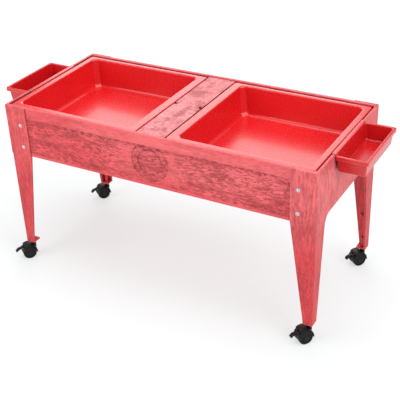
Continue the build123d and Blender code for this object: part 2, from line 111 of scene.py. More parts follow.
def noiseValue(tree, vector, scale, detail=3.0, roughness=0.5):
    inputs = {"Vector": vector, "Scale": scale, "Detail": detail, "Roughness": roughness}
    return addNode(tree, "ShaderNodeTexNoise", inputs).outputs["Fac"]


def stretched(tree, vector, scale, turn=(0, 0, 0)):
    inputs = {"Vector": vector, "Scale": scale, "Rotation": turn}
    return addNode(tree, "ShaderNodeMapping", inputs).outputs["Vector"]


def newGroup(name, inputs, outputs):
    tree = bpy.data.node_groups.new(name, "ShaderNodeTree")
    for label, value in inputs.items():
        kind = "NodeSocketVector" if label == "Vector" else "NodeSocketFloat"
        socket = tree.interface.new_socket(label, in_out="INPUT", socket_type=kind)
        if value is not None:
            socket.default_value = value
    for label in outputs:
        tree.interface.new_socket(label, in_out="OUTPUT", socket_type="NodeSocketFloat")
    return tree, tree.nodes.new("NodeGroupInput").outputs, tree.nodes.new("NodeGroupOutput").inputs


def useGroup(tree, group, **inputs):
    node = tree.nodes.new("ShaderNodeGroup")
    node.node_tree = group
    for label, value in inputs.items():
        plug(tree, node.inputs[label], value)
    return node.outputs


# Effects that several finishes share.
def makeMarbling():  # two plastics that were not quite mixed: Vector is already drawn out along the streaks
    tree, given, result = newGroup("marbling", {"Vector": None, "Warp": 0.4},
                                   ["Cloud", "Blotch", "Streak", "Grain"])
    bend = addNode(tree, "ShaderNodeTexNoise", {"Vector": given["Vector"], "Scale": 0.8, "Detail": 2.0})
    centred = addNode(tree, "ShaderNodeVectorMath", {0: bend.outputs["Color"], 1: (0.5, 0.5, 0.5)},
                      operation="SUBTRACT")
    push = addNode(tree, "ShaderNodeVectorMath", {0: centred.outputs[0], "Scale": given["Warp"]},
                   operation="SCALE")
    warped = addNode(tree, "ShaderNodeVectorMath", {0: given["Vector"], 1: push.outputs[0]},
                     operation="ADD").outputs[0]
    plug(tree, result["Cloud"], remap(tree, noiseValue(tree, warped, 0.35, 3.0, 0.5), 0.36, 0.64))
    plug(tree, result["Blotch"], remap(tree, noiseValue(tree, warped, 2.2, 5.0, 0.7), 0.43, 0.64))
    plug(tree, result["Streak"], remap(tree, noiseValue(tree, warped, 10.5, 5.0, 0.72), 0.42, 0.62))
    plug(tree, result["Grain"], noiseValue(tree, warped, 40.0, 3.0, 0.6))
    return tree


def makeEdgeWearAndHighlight():  # paler edges: painted highlight on the frame, tubs, trays and bolts, rubbed wear on the black caster parts
    tree, given, result = newGroup("edgeWearAndHighlight", {"Vector": None, "Width": 0.002, "Patchiness": 0.5},
                                   ["Edge"])
    rounded = addNode(tree, "ShaderNodeBevel", {"Radius": given["Width"]}, samples=4)
    flat = addNode(tree, "ShaderNodeNewGeometry")
    facing = addNode(tree, "ShaderNodeVectorMath", {0: rounded.outputs[0], 1: flat.outputs["Normal"]},
                     operation="DOT_PRODUCT").outputs["Value"]
    edge = remap(tree, facing, 0.80, 0.985, 1.0, 0.0)
    patches = remap(tree, noiseValue(tree, given["Vector"], 28.0, 4.0, 0.6), 0.35, 0.65)
    kept = calc(tree, "SUBTRACT", 1.0, times(tree, patches, given["Patchiness"]))
    plug(tree, result["Edge"], times(tree, edge, kept))
    return tree


def makeScuffs():  # fine hairline scratches in two directions
    tree, given, result = newGroup("scuffs", {"Vector": None, "Amount": 0.5}, ["Scratch"])
    lines = []
    for stretch, turn in (((6.0, 240.0, 240.0), 0.5), ((260.0, 7.0, 260.0), -0.3)):
        along = stretched(tree, given["Vector"], stretch, (0.1, 0.15, turn))
        lines.append(remap(tree, noiseValue(tree, along, 1.0, 2.0, 0.5), 0.66, 0.74))
    both = calc(tree, "MAXIMUM", *lines)
    plug(tree, result["Scratch"], times(tree, both, given["Amount"]))
    return tree


def makeDust():  # settles on what faces up
    tree, given, result = newGroup("dust", {"Vector": None, "Amount": 0.3}, ["Dust"])
    normal = addNode(tree, "ShaderNodeNewGeometry").outputs["Normal"]
    up = addNode(tree, "ShaderNodeSeparateXYZ", {0: normal}).outputs["Z"]
    patches = remap(tree, noiseValue(tree, given["Vector"], 60.0, 6.0, 0.7), 0.35, 0.75)
    facing = remap(tree, up, 0.2, 0.95)
    plug(tree, result["Dust"], times(tree, times(tree, patches, facing), given["Amount"]))
    return tree


def makeCrevices():  # painted shade: darker where surfaces meet closely
    tree, given, result = newGroup("creviceShading", {"Distance": 0.012}, ["Crevice"])
    near = addNode(tree, "ShaderNodeAmbientOcclusion", {"Distance": given["Distance"]}, samples=6)
    plug(tree, result["Crevice"], remap(tree, near.outputs["AO"], 0.15, 0.80, 1.0, 0.0))
    return tree


marbling = makeMarbling()
edgeWearAndHighlight = makeEdgeWearAndHighlight()
scuffs = makeScuffs()
dust = makeDust()
creviceShading = makeCrevices()


def newMaterial(name):
    material = bpy.data.materials.new(name)
    material.use_nodes = True
    tree = material.node_tree
    tree.nodes.clear()
    out = addNode(tree, "ShaderNodeOutputMaterial")
    shader = addNode(tree, "ShaderNodeBsdfPrincipled")
    tree.links.new(shader.outputs[0], out.inputs["Surface"])
    place = addNode(tree, "ShaderNodeTexCoord").outputs["Object"]
    return material, tree, shader, place


def setBump(tree, shader, height, distance, strength=1.0):
    bump = addNode(tree, "ShaderNodeBump", {"Height": height, "Distance": distance, "Strength": strength})
    plug(tree, shader.inputs["Normal"], bump.outputs["Normal"])


def shadeAndHighlight(tree, place, colour, wearAndLight):  # painted shade where surfaces meet closely, painted highlight along the edges
    shadeMask = useGroup(tree, creviceShading, Distance=wearAndLight["reach"])["Crevice"]
    colour = mixTone(tree, times(tree, shadeMask, wearAndLight["shadeStrength"]), colour, tone(wearAndLight["shadeTone"]))
    # painted highlight: a pale tone along the edges
    edge = useGroup(tree, edgeWearAndHighlight, Vector=place, Width=wearAndLight["edge"], Patchiness=wearAndLight["patchiness"])["Edge"]
    return mixTone(tree, times(tree, edge, wearAndLight["highlightStrength"]), colour, tone(wearAndLight["wornAndHighlight"]))


# Painted light: a dark tone is painted as shade where surfaces meet closely, and a pale tone as a highlight
# along the edges; the scratches are real wear
marbledWearAndLight = {
    "reach": 0.014, "shadeStrength": 0.92, "shadeTone": "#3a0409", "edge": 0.0022, "patchiness": 0.45, "highlightStrength": 0.7,
    "wornAndHighlight": "#fbb5b1", "scuffs": 0.14, "specular": 0.42, "bumpStrength": 0.6, "grainShare": 0.45,
}
marbled = {
    "endMarble": {
        "stretch": (15.0, 15.0, 3.4), "warp": 0.5, "clouds": 0.50, "blotches": 0.45, "streaks": 0.52,
        "base": "#e65458", "dark": "#9c1a25", "light": "#f07c7e", "deep": "#dc3f44",
        "roughness": (0.42, 0.58), "bump": 0.0004,
    },
    "apronMarble": {
        "stretch": (5.5, 14.0, 17.0), "warp": 0.6, "clouds": 0.55, "blotches": 0.60, "streaks": 0.74,
        "base": "#e64d52", "dark": "#8e1420", "light": "#f4797c", "deep": "#e64d52",
        "roughness": (0.44, 0.60), "bump": 0.0005,
    },
    "bridgeMarble": {
        "stretch": (9.0, 9.0, 9.0), "warp": 0.6, "clouds": 0.6, "blotches": 1.0, "streaks": 0.60,
        "base": "#dc7477", "dark": "#a2343b", "light": "#eea0a1", "deep": "#e08486", "wornAndHighlight": "#f5bcba",
        "roughness": (0.40, 0.54), "bump": 0.0003,
    },
}
panelTones = {
    "outside": 0.40, "topRow": 0.95, "endRow": 0.95, "bottomRow": 0.35, "disc": 0.45, "ring": 0.80,
    "halo": 0.55, "wobble": 0.022, "edge": 0.002, "haloReach": 0.075,
}


def panelStrength(tree, place):  # how strong the mottling is at each spot of the aprons
    t = panelTones
    x, _, z = addNode(tree, "ShaderNodeSeparateXYZ", {0: place}).outputs
    wobble = times(tree, calc(tree, "SUBTRACT", noiseValue(tree, place, 30.0, 3.0, 0.6), 0.5), t["wobble"])
    across = calc(tree, "ABSOLUTE", x)
    half, bottom, top, edge = apron["panelHalf"], apron["panelBottom"], apron["panelTop"], t["edge"]
    inside = remap(tree, across, half - edge, half + edge, 1.0, 0.0)
    above = remap(tree, z, bottom - edge, bottom + edge)
    below = remap(tree, z, top - edge, top + edge, 1.0, 0.0)
    panel = times(tree, inside, times(tree, above, below))
    raggedTop = calc(tree, "ADD", z, wobble)
    topRow = remap(tree, raggedTop, top - 0.017, top - 0.004)
    bottomRow = remap(tree, raggedTop, bottom + 0.014, bottom + 0.002)
    endRow = remap(tree, calc(tree, "ADD", across, wobble), half - 0.010, half + 0.002)
    fromDisc = calc(tree, "SUBTRACT", z, apron["discZ"])
    away = calc(tree, "SQRT", calc(tree, "ADD", times(tree, x, x), times(tree, fromDisc, fromDisc)))
    disc = remap(tree, calc(tree, "ADD", away, wobble), apron["discRadius"] - 0.012, apron["discRadius"],
                 1.0, 0.0)
    rings = []
    for radius in apron["rings"]:
        off = calc(tree, "ABSOLUTE", calc(tree, "SUBTRACT", away, radius))
        rings.append(remap(tree, off, 0.001, 0.005, 1.0, 0.0))
    ring = calc(tree, "MAXIMUM", *rings)
    extra = times(tree, topRow, t["topRow"])
    for mask, amount in ((bottomRow, t["bottomRow"]), (disc, t["disc"]), (ring, t["ring"])):
        extra = calc(tree, "ADD", extra, times(tree, mask, amount))
    extra = times(tree, extra, panel)
    seam = times(tree, endRow, times(tree, above, below))
    extra = calc(tree, "MAXIMUM", extra, times(tree, seam, t["endRow"]))
    halo = remap(tree, away, apron["discRadius"] + t["haloReach"], apron["discRadius"] + 0.012)
    shown = remap(tree, panel, 0.0, 1.0, t["outside"], 1.0)
    pale = times(tree, calc(tree, "SUBTRACT", halo, disc), t["halo"])
    return times(tree, shown, calc(tree, "SUBTRACT", 1.0, pale)), extra


def makeMarbled(name):
    s = marbled[name]
    material, tree, shader, place = newMaterial(name)
    marble = useGroup(tree, marbling, Vector=stretched(tree, place, s["stretch"]), Warp=s["warp"])
    streak = times(tree, marble["Streak"], s["streaks"])
    blotch = times(tree, marble["Blotch"], s["blotches"])
    colour = mixTone(tree, times(tree, marble["Cloud"], s["clouds"]), tone(s["base"]), tone(s["light"]))
    if name == "apronMarble":
        shown, extra = panelStrength(tree, place)
        streak = times(tree, streak, shown)
        blotch = times(tree, blotch, shown)
        broken = calc(tree, "ADD", 0.35, times(tree, marble["Streak"], 0.65))
        blotch = calc(tree, "MAXIMUM", blotch, times(tree, extra, broken))
    else:  # darker, deeper red towards the bottom
        z = addNode(tree, "ShaderNodeSeparateXYZ", {0: place}).outputs["Z"]
        colour = mixTone(tree, remap(tree, z, 0.30, 0.50, 1.0, 0.0), colour, tone(s["deep"]))
    colour = mixTone(tree, streak, colour, tone(s["dark"]))
    colour = mixTone(tree, blotch, colour, tone(s["dark"]))
    wearAndLight = {**marbledWearAndLight, **s}
    colour = shadeAndHighlight(tree, place, colour, wearAndLight)
    scratch = useGroup(tree, scuffs, Vector=place, Amount=wearAndLight["scuffs"])["Scratch"]
    colour = mixTone(tree, scratch, colour, tone(wearAndLight["wornAndHighlight"]))
    plug(tree, shader.inputs["Base Color"], colour)
    plug(tree, shader.inputs["Roughness"], remap(tree, marble["Grain"], 0.3, 0.7, *s["roughness"]))
    shader.inputs["Specular IOR Level"].default_value = wearAndLight["specular"]
    height = calc(tree, "ADD", times(tree, marble["Grain"], wearAndLight["grainShare"]), marble["Streak"])
    setBump(tree, shader, height, s["bump"], wearAndLight["bumpStrength"])
    return material


# Painted light: a dark tone is painted as shade where surfaces meet closely, and a pale tone as a highlight
# along the edges and rims
glossyWearAndLight = {
    "reach": 0.012, "shadeStrength": 0.7, "shadeTone": "#4a0206", "edge": 0.0040, "patchiness": 0.3, "highlightStrength": 0.7,
    "wornAndHighlight": "#f2928c", "scuffs": 0.22, "mixed": 0.35, "coatRoughness": 0.12, "bump": 0.0012,
    "bumpStrength": 0.5,
}
glossy = {
    "tubGloss": {"base": "#da1b20", "deep": "#c8141a", "roughness": (0.24, 0.32), "coat": 0.3},
    "trayGloss": {"base": "#d2191e", "deep": "#b01016", "roughness": (0.22, 0.32), "coat": 0.25},
}


def makeGlossy(name):
    s = {**glossyWearAndLight, **glossy[name]}
    material, tree, shader, place = newMaterial(name)
    soft = noiseValue(tree, place, 5.0, 3.0, 0.5)
    colour = mixTone(tree, remap(tree, soft, 0.35, 0.65), tone(s["base"]), tone(s["deep"]))
    colour = mixTone(tree, s["mixed"], tone(s["base"]), colour)
    plug(tree, shader.inputs["Base Color"], shadeAndHighlight(tree, place, colour, s))
    scratch = useGroup(tree, scuffs, Vector=place, Amount=s["scuffs"])["Scratch"]
    speck = noiseValue(tree, place, 240.0, 3.0, 0.6)
    rough = calc(tree, "ADD", remap(tree, speck, 0.3, 0.7, *s["roughness"]), times(tree, scratch, 0.5))
    plug(tree, shader.inputs["Roughness"], rough)
    shader.inputs["Coat Weight"].default_value = s["coat"]
    shader.inputs["Coat Roughness"].default_value = s["coatRoughness"]
    wave = calc(tree, "ADD", noiseValue(tree, place, 9.0, 2.0, 0.4), times(tree, speck, 0.004))
    setBump(tree, shader, wave, s["bump"], s["bumpStrength"])
    return material


# Painted light only: a dark tone is painted as shade round the fasteners, and a pale tone as a highlight on
# their edges
zincShadeAndHighlight = {
    "reach": 0.005, "shadeStrength": 0.8, "shadeTone": "#2e3034", "edge": 0.0006, "patchiness": 0.3, "highlightStrength": 1.0,
    "wornAndHighlight": "#f0f1f3",
}


def makeZinc():
    material, tree, shader, place = newMaterial("zincPlate")
    cells = addNode(tree, "ShaderNodeTexVoronoi", {"Vector": place, "Scale": 420.0})
    spangle = addNode(tree, "ShaderNodeSeparateXYZ", {0: cells.outputs["Color"]}).outputs["X"]
    cloudy = noiseValue(tree, place, 300.0, 4.0, 0.6)
    colour = mixTone(tree, remap(tree, spangle, 0.0, 1.0, 0.0, 0.5), tone("#cfd2d6"), tone("#9fa4ab"))
    plug(tree, shader.inputs["Base Color"], shadeAndHighlight(tree, place, colour, zincShadeAndHighlight))
    plug(tree, shader.inputs["Roughness"], remap(tree, cloudy, 0.3, 0.7, 0.22, 0.42))
    shader.inputs["Metallic"].default_value = 1.0
    setBump(tree, shader, cloudy, 0.0001, 0.5)
    return material


blacks = {
    "nylonBlack": {"base": "#07090a", "light": "#0f1112", "wornAndHighlight": "#33383a", "roughness": (0.34, 0.5),
                   "grain": 900.0},
    "tyreBlack": {"base": "#060708", "light": "#0d0f10", "wornAndHighlight": "#25292b", "roughness": (0.5, 0.72),
                  "grain": 600.0},
}


def makeBlack(name):
    s = blacks[name]
    material, tree, shader, place = newMaterial(name)
    grain = noiseValue(tree, place, s["grain"], 4.0, 0.6)
    soft = noiseValue(tree, place, 70.0, 3.0, 0.5)
    colour = mixTone(tree, remap(tree, soft, 0.35, 0.65), tone(s["base"]), tone(s["light"]))
    wornAndHighlight = useGroup(tree, edgeWearAndHighlight, Vector=place, Width=0.0008, Patchiness=0.5)["Edge"]
    colour = mixTone(tree, times(tree, wornAndHighlight, 0.6), colour, tone(s["wornAndHighlight"]))
    settled = useGroup(tree, dust, Vector=place, Amount=0.07)["Dust"]
    plug(tree, shader.inputs["Base Color"], mixTone(tree, settled, colour, tone("#8d8983")))
    rough = calc(tree, "ADD", remap(tree, grain, 0.3, 0.7, *s["roughness"]), times(tree, settled, 0.4))
    plug(tree, shader.inputs["Roughness"], rough)
    shader.inputs["Specular IOR Level"].default_value = 0.3
    setBump(tree, shader, grain, 0.0002, 0.5)
    return material


def turned(point, angle):
    c, s = math.cos(angle), math.sin(angle)
    return Vector((point.x * c - point.y * s, point.x * s + point.y * c))


def smooth(value):  # 0 to 1 with soft ends
    t = min(max(value, 0.0), 1.0)
    return t * t * (3 - 2 * t)


def roundPath(points, radii, steps=4, closed=False):  # each corner becomes an arc of its radius
    path = []
    count = len(points)
    for i, radius in enumerate(radii):
        here = Vector(points[i])
        if radius == 0 or (not closed and i in (0, count - 1)):
            path.append(here)
            continue
        before = (Vector(points[i - 1]) - here).normalized()
        after = (Vector(points[(i + 1) % count]) - here).normalized()
        half = before.angle(after) / 2
        centre = here + (before + after).normalized() * radius / math.sin(half)
        start = here + before * radius / math.tan(half) - centre
        left = before.x * after.y - before.y * after.x < 0
        turn = (math.pi - 2 * half) * (1 if left else -1)
        path += [centre + turned(start, turn * k / steps) for k in range(steps + 1)]
    return path


def boxOutline(x0, x1, y0, y1, corner, rounding, steps=5, cuts=6):
    # A box seen from above. Each corner is cut at 45 degrees, and both ends of the cut are rounded.
    rounding = min(rounding, corner)
    arc = [math.radians(45) * k / steps for k in range(steps + 1)]
    first = [Vector((rounding * math.sin(a) - corner, rounding * (1 - math.cos(a)))) for a in arc]
    second = [Vector((-p.y, -p.x)) for p in reversed(first)]
    ring = []
    for k, spot in enumerate(((x1, y0), (x1, y1), (x0, y1), (x0, y0))):
        run = [Vector(spot) + turned(p, math.radians(90 * k)) for p in first + second]
        if ring:
            ring += [ring[-1].lerp(run[0], i / (cuts + 1)) for i in range(1, cuts + 1)]
        ring += run
    last, begin = ring[-1], ring[0]
    ring += [last.lerp(begin, i / (cuts + 1)) for i in range(1, cuts + 1)]
    return ring


def addRings(bm, rings, capFirst=False, capLast=False, closeStack=False):
    rows = [[bm.verts.new(p) for p in ring] for ring in rings]
    count = len(rows[0])
    pairs = list(zip(rows, rows[1:]))
    if closeStack:
        pairs.append((rows[-1], rows[0]))
    for low, high in pairs:
        for i in range(count):
            j = (i + 1) % count
            bm.faces.new((low[i], low[j], high[j], high[i]))
    if capFirst:
        bm.faces.new(rows[0])
    if capLast:
        bm.faces.new(rows[-1])


def addProfile(bm, profile, stations, lay):  # a closed outline carried along, both ends capped
    addRings(bm, [[lay(s, p) for p in profile] for s in stations], True, True)


def addRevolved(bm, profile, lay, steps=48):  # profile of (radius, height), turned a full circle
    angles = [math.tau * k / steps for k in range(steps)]
    rings = [[lay(p[0] * math.cos(a), p[0] * math.sin(a), p[1]) for a in angles] for p in profile]
    addRings(bm, rings)


def addBlock(bm, low, high):
    ring = [(low[0], low[1]), (high[0], low[1]), (high[0], high[1]), (low[0], high[1])]
    addRings(bm, [[Vector((x, y, z)) for x, y in ring] for z in (low[2], high[2])], True, True)


def settle(piece):  # applies the modifiers
    depsgraph = bpy.context.evaluated_depsgraph_get()
    mesh = bpy.data.meshes.new_from_object(piece.evaluated_get(depsgraph), preserve_all_data_layers=True,
                                           depsgraph=depsgraph)
    piece.modifiers.clear()
    piece.data = mesh


def finishPiece(name, bm, materials, body, replaced=(), bevel=0.0, segments=3, sharp=50.0):
    bmesh.ops.remove_doubles(bm, verts=bm.verts, dist=mergeWithin)
    bmesh.ops.recalc_face_normals(bm, faces=bm.faces)
    mesh = bpy.data.meshes.new(name)
    bm.to_mesh(mesh)
    bm.free()
    for material in materials:
        mesh.materials.append(material)
    return finishMesh(name, mesh, body, replaced, bevel, segments, sharp)


def finishMesh(name, mesh, body, replaced=(), bevel=0.0, segments=3, sharp=50.0):
    piece = bpy.data.objects.new(name, mesh)
    scene.collection.objects.link(piece)
    if bevel:
        soften = piece.modifiers.new("soften", "BEVEL")
        soften.width = bevel
        soften.segments = segments
        soften.angle_limit = math.radians(40)
        settle(piece)
    piece.data.shade_smooth()
    piece.data.set_sharp_from_angle(angle=math.radians(sharp))
    even = piece.modifiers.new("even", "WEIGHTED_NORMAL")
    even.keep_sharp = True
    settle(piece)
    piece.data.name = name
    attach(piece, body)
    if replaced:
        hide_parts(*replaced)
    return piece


# End frames: one sheet each, bent round both corners, with an arch between its legs.
endFrame = {
    "wall": 8 * mm, "bend": 5 * mm, "innerBend": 1.5 * mm, "bendSteps": 6,
    "kneeStep": 1.5 * mm,
    "flangeTop": 86 * mm, "flangeFoot": 34 * mm, "sideTop": 82 * mm, "sideFoot": 37 * mm,
    "archZ": 441 * mm, "archRound": 38 * mm,
    "footPlate": 37 * mm, "footThickness": 5 * mm,
    "webZ": 196 * mm, "webThickness": 4 * mm, "webSize": 34 * mm,
    "ledgeZ": 617 * mm, "ledgeDepth": 15 * mm, "ledgeThickness": 8 * mm,
    "recess": 4 * mm, "recessHalf": 131 * mm, "legRows": 14, "panelRows": 12,
    "kneeRows": (0, 1.2 * mm, 2.4 * mm, 3.5 * mm), "archTurns": (15, 24, 33, 42, 51, 60, 69, 78, 85, 90),
    "flangeColumns": 6, "sideColumns": 6, "middleColumns": 24, "edge": 1.6 * mm,
}


def legHalf(z, knee, depth, sideEdge):
    # One leg's section: (q, p) pairs, q in from the end face and p in from the front face.
    e = endFrame
    climb = min((z - footZ) / (apronBottom - footZ), 1.0)
    flange = e["flangeFoot"] + (e["flangeTop"] - e["flangeFoot"]) * climb
    radius = e["bend"] if depth == 0 else e["innerBend"]
    centre = knee + depth + radius
    level = knee + depth
    points = [(flange + (centre - flange) * i / e["flangeColumns"],
               level) for i in range(e["flangeColumns"])]
    for i in range(e["bendSteps"] + 1):
        a = math.radians(90) * i / e["bendSteps"]
        points.append((centre - radius * math.sin(a), centre - radius * math.cos(a)))
    for i in range(1, e["sideColumns"] + 1):
        points.append((level, centre + (sideEdge - centre) * i / e["sideColumns"]))
    return points


def buildEndFrame(side, hand):
    e = endFrame
    lean = math.atan((e["sideTop"] - e["sideFoot"]) / (e["archZ"] - footZ))
    reach = e["archRound"] * math.tan((math.pi / 2 - lean) / 2)
    archEnd = e["sideTop"] + reach
    archCentreZ = e["archZ"] - e["archRound"]
    tangentZ = e["archZ"] - reach * math.cos(lean)

    def sideEdge(z):
        if z <= tangentZ:
            return e["sideFoot"] + (z - footZ) * math.tan(lean)
        return archEnd - math.sqrt(max(e["archRound"] ** 2 - (z - archCentreZ) ** 2, 0))

    count = e["legRows"]
    lowRows = [footZ + (tangentZ - footZ) * i / count for i in range(count + 1)]
    lowRows += [archCentreZ + e["archRound"] * math.sin(math.radians(a)) for a in e["archTurns"]]
    highRows = [e["archZ"] + rise for rise in e["kneeRows"]]
    top, count = highRows[-1], e["panelRows"]
    highRows += [top + (frameTop - top) * i / count for i in range(1, count + 1)]

    def place(q, p, end):  # end -1 is the front leg, 1 the rear one
        y = frontY + p if end < 0 else rearY - p
        return Vector((side * (endX - q), y, 0))

    bm = bmesh.new()
    skins = []
    for depth in (0, e["wall"]):
        grid = []
        for end in (-1, 1):
            strip = []
            for z in lowRows:
                row = [place(q, p, end) for q, p in legHalf(z, e["kneeStep"], depth, sideEdge(z))]
                strip.append([Vector((v.x, v.y, z)) for v in row])
            grid.append(strip)
        strip = []
        for z in highRows:
            knee = e["kneeStep"] * (1 - smooth((z - e["archZ"]) / e["kneeRows"][-1]))
            front = [place(q, p, -1) for q, p in legHalf(z, knee, depth, archEnd)]
            rear = [place(q, p, 1) for q, p in legHalf(z, knee, depth, archEnd)]
            cuts = e["middleColumns"]
            middle = [front[-1].lerp(rear[-1], i / cuts) for i in range(1, cuts)]
            strip.append([Vector((v.x, v.y, z)) for v in front + middle + rear[::-1]])
        grid.append(strip)
        faces = []
        for strip in grid:
            rows = [[bm.verts.new(p) for p in row] for row in strip]
            for low, high in zip(rows, rows[1:]):
                for i in range(len(low) - 1):
                    faces.append(bm.faces.new((low[i], low[i + 1], high[i + 1], high[i])))
        corners = dict.fromkeys(v for f in faces for v in f.verts)  # in the same order every run
        bmesh.ops.remove_doubles(bm, verts=list(corners), dist=mergeWithin)
        skins.append([f for f in bm.faces if f.is_valid and f not in {g for s in skins for g in s}])
    outer, inner = skins
    partner = {}  # the two skins have the same faces in the same order
    for f, g in zip(outer, inner):
        for v, w in zip(f.verts, g.verts):
            partner[v] = w
    rim = [edge for f in outer for edge in f.edges if len(edge.link_faces) == 1]
    for edge in rim:
        a, b = edge.verts
        bm.faces.new((a, b, partner[b], partner[a]))

    inside = endX - e["wall"]
    for end in (-1, 1):
        face = frontY if end < 0 else rearY
        near = e["kneeStep"] + 2 * mm

        def corner(q, p):
            return side * (endX - q), face - end * p

        (x0, y0), (x1, y1) = corner(near, near), corner(e["footPlate"], e["footPlate"])
        addBlock(bm, (min(x0, x1), min(y0, y1), footZ),
                 (max(x0, x1), max(y0, y1), footZ + e["footThickness"]))
        wall = e["wall"] + 1 * mm
        long = e["wall"] + e["webSize"]
        web = [corner(wall, wall), corner(long, wall), corner(wall, long)]
        levels = (e["webZ"], e["webZ"] + e["webThickness"])
        addRings(bm, [[Vector((x, y, z)) for x, y in web] for z in levels], True, True)
    for v in bm.verts:  # the tray's hook lies in a recess along the top
        if v.co.z > frameTop - samePlace and abs(v.co.y - midY) < e["recessHalf"]:
            v.co.z -= e["recess"]
    xs = sorted((side * inside, side * (inside - e["ledgeDepth"])))
    margin = 2 * e["wall"]
    addBlock(bm, (xs[0], frontY + margin, e["ledgeZ"] - e["ledgeThickness"]),
             (xs[1], rearY - margin, e["ledgeZ"]))
    finishPiece(f"{hand}EndFrame", bm, [endMarble], "frame", (f"{hand}_end_frame",),
                e["edge"])


# Aprons: a ledge, a skirt and a recessed panel with a plain disc in it.
apron = {
    "wall": 8 * mm, "ledgeDepth": 15 * mm, "ledgeThickness": 8 * mm, "ledgeZ": 617 * mm,
    "skirt": 12 * mm, "skirtThickness": 6 * mm,
    "panelHalf": 486 * mm, "panelBottom": 455 * mm, "panelTop": 591 * mm, "recess": 1.2 * mm,
    "border": 4 * mm, "discRadius": 72 * mm, "discRise": 0.75, "discZ": 533 * mm, "ringWidth": 5 * mm,
    "ringHeight": 0.9 * mm, "rings": (68 * mm, 44 * mm), "stepHalf": 82.5 * mm, "stepDrop": 6 * mm,
    "stepFrom": 50 * mm, "channelHalf": 40.5 * mm,
    "proud": 4 * mm, "proudHalf": 497.5 * mm,  # between the flanges the wall stands nearly level with them
    "streak": 0.22 * mm, "fineColumn": 1.8 * mm, "column": 4.5 * mm, "row": 2.0 * mm,
    "ribPlaces": (-470 * mm, -320 * mm, -170 * mm, 170 * mm, 320 * mm, 470 * mm), "ribThickness": 5 * mm,
}


def panelRelief(x, z):  # how far the outer face stands out at this spot
    a = apron
    inside = min(a["panelHalf"] - abs(x), z - a["panelBottom"], a["panelTop"] - z)
    sunk = smooth(inside / a["border"])
    away = math.hypot(x, z - a["discZ"])
    disc = 1 - smooth((away - a["discRadius"]) / a["border"] + 0.5)
    rings = sum(1 - smooth(abs(away - r) / a["ringWidth"]) for r in a["rings"])
    grain = noise.noise(Vector((x * 14, 3.0, z * 75))) + 0.5 * noise.noise(Vector((x * 40, 9.0, z * 210)))
    level = a["recess"] * sunk * (a["discRise"] * disc - 1)
    return level + a["ringHeight"] * rings * 0.7 + a["streak"] * grain * sunk


def buildApron(end, hand):
    a = apron
    inward = -end
    low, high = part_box(f"{hand}_apron")
    face = (low.y if end < 0 else high.y) + inward * a["proud"]
    back = face + inward * a["wall"]
    shelf = back + inward * a["ledgeDepth"]
    skirt = back + inward * a["skirt"]
    ledgeLow = a["ledgeZ"] - a["ledgeThickness"]
    skirtTop = low.z + a["skirtThickness"]
    corners = [(face, low.z), (skirt, low.z), (skirt, skirtTop), (back, skirtTop), (back, ledgeLow),
               (shelf, ledgeLow), (shelf, a["ledgeZ"]), (back, a["ledgeZ"]), (back, high.z), (face, high.z)]
    radii = [r * mm for r in (1.5, 1.5, 1.5, 1.0, 1.0, 1.5, 1.5, 0.5, 2.0, 2.0)]
    profile = roundPath(corners, radii, 3, True)
    first, last = profile[0], profile[-1]
    rows = max(int(abs(last.y - first.y) / a["row"]), 1)
    profile += [last.lerp(first, i / rows) for i in range(1, rows)]
    fine = [-a["discRadius"] - a["border"] * 2 + a["fineColumn"] * i
            for i in range(int(2 * (a["discRadius"] + a["border"] * 2) / a["fineColumn"]) + 1)]
    outwards = []
    x = fine[-1]
    while x + a["column"] < high.x:
        x += a["column"]
        outwards.append(x)
    outwards.append(high.x)
    steps = (a["stepHalf"], a["stepHalf"] + 0.4 * mm, a["channelHalf"], a["channelHalf"] - 0.4 * mm,
             a["proudHalf"], a["proudHalf"] + 0.3 * mm)
    stations = sorted(set([-v for v in outwards] + fine + outwards + [s for v in steps for s in (v, -v)]))

    def lay(x, p):
        y, z = p
        raised = a["proud"] if abs(x) < a["proudHalf"] + slack else 0
        if abs(y - face) < samePlace:
            y -= inward * (raised + panelRelief(x, z))
        elif (y - face) * inward < a["wall"] / 2:
            y -= inward * raised
        elif abs(x) < a["stepHalf"] + slack and abs(y - back) > slack:
            onLedge = low.z + a["stepFrom"] < z < a["ledgeZ"] + 1 * mm
            if onLedge and (y - back) * inward > 0:  # the ledge steps down under the beam's brims
                z -= a["stepDrop"]
                if abs(x) < a["channelHalf"] - slack:
                    y = back + inward * 0.3 * mm
        return Vector((x, y, z))

    bm = bmesh.new()
    addProfile(bm, profile, stations, lay)
    finishPiece(f"{hand}Apron", bm, [apronMarble], "frame", (f"{hand}_apron",), sharp=60)
    return back, inward, skirtTop, ledgeLow


# Things that repeat are placed by Geometry Nodes.
socketKinds = {"Places": "Geometry", "Fastener": "Object", "Seed": "Int", "Count": "Int",
               "Finish": "Material"}


def newTree(name, *inputs):
    tree = bpy.data.node_groups.new(name, "GeometryNodeTree")
    for label in inputs:  # a size is a plain number
        kind = "NodeSocket" + socketKinds.get(label, "Float")
        tree.interface.new_socket(label, in_out="INPUT", socket_type=kind)
    tree.interface.new_socket("Geometry", in_out="OUTPUT", socket_type="NodeSocketGeometry")
    return tree, tree.nodes.new("NodeGroupInput").outputs, tree.nodes.new("NodeGroupOutput").inputs


def endTree(tree, given, result, instances):
    real = addNode(tree, "GeometryNodeRealizeInstances", {0: instances})
    coat = addNode(tree, "GeometryNodeSetMaterial",
                   {"Geometry": real.outputs[0], "Material": given["Finish"]})
    tree.links.new(coat.outputs[0], result["Geometry"])


